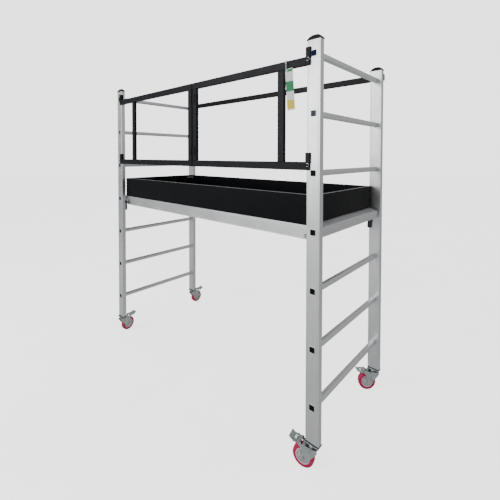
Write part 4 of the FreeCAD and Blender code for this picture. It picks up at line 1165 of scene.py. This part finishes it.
class SCAFFOLD_OT_guard(bpy.types.Operator):
    """Models the guard frame's tubes, welds, brackets and hinges"""

    bl_idname = "scaffold.guard"
    bl_label = "Guard frame"

    def tube_boxes(self, node):
        """The rails' and posts' corners; the posts are found by their feet on the lower rail."""
        low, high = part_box(node)
        rail_low, rail_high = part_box("back_rail")
        face = rail_high.z - rail_low.z
        rails = [
            (low.copy(), Vector((high.x, high.y, low.z + face))),
            (Vector((low.x, low.y, high.z - face)), high.copy()),
        ]
        points = frame["nodes"][node].data.vertices
        edges = sorted({round(point.co.x, 5) for point in points if abs(point.co.z - low.z - face) < 1e-4})
        posts = []
        for left in edges:
            for right in edges:
                if abs(right - left - face) < 1e-4:
                    foot = Vector((left, low.y, low.z + face))
                    head = Vector((right, high.y, high.z - face))
                    posts.append((foot, head))
        return rails, posts

    def half_frame(self, side, sizes):
        node = "guard_frame_" + side
        rails, posts = self.tube_boxes(node)
        tubes = []
        beads = []
        inset = 0.003
        for index, (low, high) in enumerate(rails + posts):
            tubes.append(guard_tube("%s_tube_%d" % (node, index), low, high, sizes))
        for low, high in posts:
            for height in (low.z, high.z):
                for y in (low.y, high.y):
                    start = (low.x + inset, y, height)
                    end = (high.x - inset, y, height)
                    beads.append(weld_bead("bead", start, end, sizes.weld_radius))
                for x in (low.x, high.x):
                    if any(rail[0].x < x - 0.002 and rail[1].x > x + 0.002 for rail in rails):
                        start = (x, low.y + inset, height)
                        end = (x, high.y - inset, height)
                        beads.append(weld_bead("bead", start, end, sizes.weld_radius))
        whole = joined(node + "_tubes", tubes)
        fit(paint(whole, "black_paint"), body_of(node), "black_paint", node)
        welds = joined(node + "_welds", beads)
        fit(paint(welds, "black_paint"), body_of(node), "black_paint")

    def hinge_screws(self, node):
        heads = []
        joint_x = JOINTS["guard_fold"]["pos_m"][X]
        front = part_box("guard_frame_left")[0].y
        from_side = 0.009
        from_end = 0.011
        radius = 0.0042
        for low, high in loose_boxes(node):
            far = low.x if abs(low.x - joint_x) > abs(high.x - joint_x) else high.x
            x = far + (from_side if far < joint_x else -from_side)
            for height in (low.z + from_end, high.z - from_end):
                heads.append(pan_head((x, front - 0.003, height), (x, front - 0.0052, height), radius))
        fit(paint(joined(node + "_screws", heads), "black_paint"), body_of(node), "black_paint")

    def execute(self, context):
        sizes = context.scene.scaffold_sizes
        for side in ("left", "right"):
            self.half_frame(side, sizes)
            dress("guard_brackets_" + side, "_cast", "black_paint", "black_paint", sizes.casting_round, 3)
        for node in ("guard_hinges_fixed", "guard_hinges_swing"):
            dress(node, "_leaves", "black_paint", "black_paint", 0.0005)
            self.hinge_screws(node)
        low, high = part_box("back_rail")
        rail = guard_tube("back_rail_tube", low, high, sizes)
        fit(paint(rail, "black_paint"), body_of("back_rail"), "black_paint", "back_rail")
        return {"FINISHED"}


# ---------------------------------------------------------------- hang tag

class SCAFFOLD_OT_tag(bpy.types.Operator):
    """Models the hang tag, its eyelet and its tie"""

    bl_idname = "scaffold.tag"
    bl_label = "Hang tag"

    def execute(self, context):
        low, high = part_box("hang_tag")
        tie_low, tie_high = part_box("tag_tie")
        eye = Vector(JOINTS["tag_swing"]["pos_m"])
        eye.x = (tie_low.x + tie_high.x) / 2
        eye.z = high.z - 0.006
        sheet = block("tag_card", low, high)
        bevel_edges(sheet, edges_along(Y), 0.0035, 4)
        hole = rod("hole", (eye.x, low.y - 0.01, eye.z), (eye.x, high.y + 0.01, eye.z), 0.003, 32)
        modify(sheet, "BOOLEAN", operation="DIFFERENCE", object=hole, solver="EXACT")
        discard(hole)
        bands = 12
        for index in range(1, bands):
            slice_at(sheet, low.z + (high.z - 0.02 - low.z) * index / bands)
        reach = high.z - low.z
        curl = 0.004
        twist = 0.0015
        for vertex in sheet.data.vertices:
            hang = max(0.0, (eye.z - vertex.co.z) / reach)
            side = (vertex.co.x - eye.x) / (high.x - low.x)
            vertex.co.y -= curl * hang * hang + twist * side * hang
        smooth(sheet, 30)
        clear_selection()
        bpy.ops.mesh.primitive_torus_add(
            location=(eye.x, (low.y + high.y) / 2, eye.z), rotation=(math.radians(90), 0, 0),
            major_radius=0.0039, minor_radius=0.0008, major_segments=40, minor_segments=12,
        )
        eyelet = settle("tag_eyelet")
        take(eyelet)
        bpy.ops.object.shade_smooth()
        turn = Matrix.Rotation(math.radians(-5.2), 4, "Y")
        lean = Matrix.Translation(eye) @ turn @ Matrix.Translation(-eye)
        sheet.data.transform(lean)
        sheet.data.materials.append(card("tag_print", low.z, high.z))
        fit(sheet, body_of("hang_tag"), "tag_card", "hang_tag")
        fit(paint(eyelet, "zinc"), body_of("hang_tag"), "zinc")
        loop = rounded(copy_of("tag_tie", "tag_tie_loop"), 0.0004, 3)
        head = block(
            "tie_head", (tie_low.x - 0.0014, tie_low.y - 0.0022, tie_high.z - 0.018),
            (tie_high.x + 0.0014, tie_low.y + 0.0018, tie_high.z - 0.0125),
        )
        rounded(head, 0.0006, 3)
        tail = block(
            "tie_tail", (tie_low.x, tie_low.y - 0.0012, tie_high.z - 0.0128),
            (tie_high.x, tie_low.y - 0.0004, tie_high.z - 0.001),
        )
        rounded(tail, 0.0003, 2)
        whole = joined("tag_tie_strap", [loop, head, tail])
        fit(paint(whole, "tie"), body_of("tag_tie"), "tie_plastic", "tag_tie")
        return {"FINISHED"}


# ---------------------------------------------------------------- stage

class SCAFFOLD_OT_stage(bpy.types.Operator):
    """Sets the floor, the soft light and the camera"""

    bl_idname = "scaffold.stage"
    bl_label = "Stage"

    def lamp(self, name, place, target, size, power):
        data = bpy.data.lights.new(name, "AREA")
        data.shape = "RECTANGLE"
        data.size, data.size_y = size
        data.energy = power
        light = bpy.data.objects.new(name, data)
        light.location = place
        light.rotation_euler = (Vector(target) - Vector(place)).to_track_quat("-Z", "Y").to_euler()
        bpy.context.scene.collection.objects.link(light)

    def execute(self, context):
        stage = context.scene.scaffold_stage
        clear_selection()
        bpy.ops.mesh.primitive_plane_add(size=stage.floor_size, location=(0, 0, 0))
        floor = settle("floor")
        floor.data.materials.append(floor_finish("pale_floor", stage.backdrop))
        world = bpy.data.worlds.new("soft_room")
        world.use_nodes = True
        background = world.node_tree.nodes["Background"]
        background.inputs["Color"].default_value = (1, 1, 1, 1)
        background.inputs["Strength"].default_value = stage.room_light
        seen = world.node_tree.nodes.new("ShaderNodeBackground")
        seen.inputs["Color"].default_value = (1, 1, 1, 1)
        seen.inputs["Strength"].default_value = stage.backdrop
        path = world.node_tree.nodes.new("ShaderNodeLightPath")
        mix = world.node_tree.nodes.new("ShaderNodeMixShader")
        links = world.node_tree.links
        links.new(path.outputs["Is Camera Ray"], mix.inputs["Fac"])
        links.new(background.outputs["Background"], mix.inputs[1])
        links.new(seen.outputs["Background"], mix.inputs[2])
        links.new(mix.outputs["Shader"], world.node_tree.nodes["World Output"].inputs["Surface"])
        context.scene.world = world
        self.lamp("key", (-1.5, -4.5, 2.6), (0.2, 0, 1.0), (4.0, 3.0), stage.key_power)
        self.lamp("fill", (3.8, 1.0, 2.6), (0.4, 0, 1.0), (2.5, 2.5), stage.fill_power)
        data = bpy.data.cameras.new("view")
        data.lens = stage.lens
        data.shift_y = stage.shift
        camera = bpy.data.objects.new("view", data)
        camera.location = stage.camera_place
        ahead = Vector((
            math.cos(stage.camera_turn) * math.cos(stage.camera_tilt),
            math.sin(stage.camera_turn) * math.cos(stage.camera_tilt),
            -math.sin(stage.camera_tilt),
        ))
        roll = Matrix.Rotation(stage.camera_roll, 4, "Z")
        camera.rotation_euler = (ahead.to_track_quat("-Z", "Y").to_matrix().to_4x4() @ roll).to_euler()
        context.scene.collection.objects.link(camera)
        context.scene.camera = camera
        return {"FINISHED"}


# ---------------------------------------------------------------- panel and registration

STEPS = (
    SCAFFOLD_OT_stiles,
    SCAFFOLD_OT_rungs,
    SCAFFOLD_OT_caps,
    SCAFFOLD_OT_wheels,
    SCAFFOLD_OT_casters,
    SCAFFOLD_OT_fasteners,
    SCAFFOLD_OT_platform,
    SCAFFOLD_OT_boards,
    SCAFFOLD_OT_guard,
    SCAFFOLD_OT_tag,
    SCAFFOLD_OT_stage,
)


class SCAFFOLD_PT_panel(bpy.types.Panel):
    """The steps that build the scaffold's look"""

    bl_label = "Rolling Scaffold"
    bl_idname = "SCAFFOLD_PT_panel"
    bl_space_type = "VIEW_3D"
    bl_region_type = "UI"
    bl_category = "Scaffold"

    def draw(self, context):
        layout = self.layout
        for step in STEPS:
            layout.operator(step.bl_idname)
        scene = context.scene
        for settings in (scene.scaffold_colours, scene.scaffold_sizes, scene.scaffold_stage):
            box = layout.box()
            for name in settings.__annotations__:
                box.prop(settings, name)


CLASSES = (ScaffoldColours, ScaffoldSizes, ScaffoldStage, *STEPS, SCAFFOLD_PT_panel)


def register():
    for item in CLASSES:
        bpy.utils.register_class(item)
    bpy.types.Scene.scaffold_colours = PointerProperty(type=ScaffoldColours)
    bpy.types.Scene.scaffold_sizes = PointerProperty(type=ScaffoldSizes)
    bpy.types.Scene.scaffold_stage = PointerProperty(type=ScaffoldStage)


def unregister():
    del bpy.types.Scene.scaffold_stage
    del bpy.types.Scene.scaffold_sizes
    del bpy.types.Scene.scaffold_colours
    for item in reversed(CLASSES):
        bpy.utils.unregister_class(item)


def main():
    register()
    for step in STEPS:
        area, name = step.bl_idname.split(".")
        getattr(getattr(bpy.ops, area), name)()


if __name__ == "__main__":
    main()
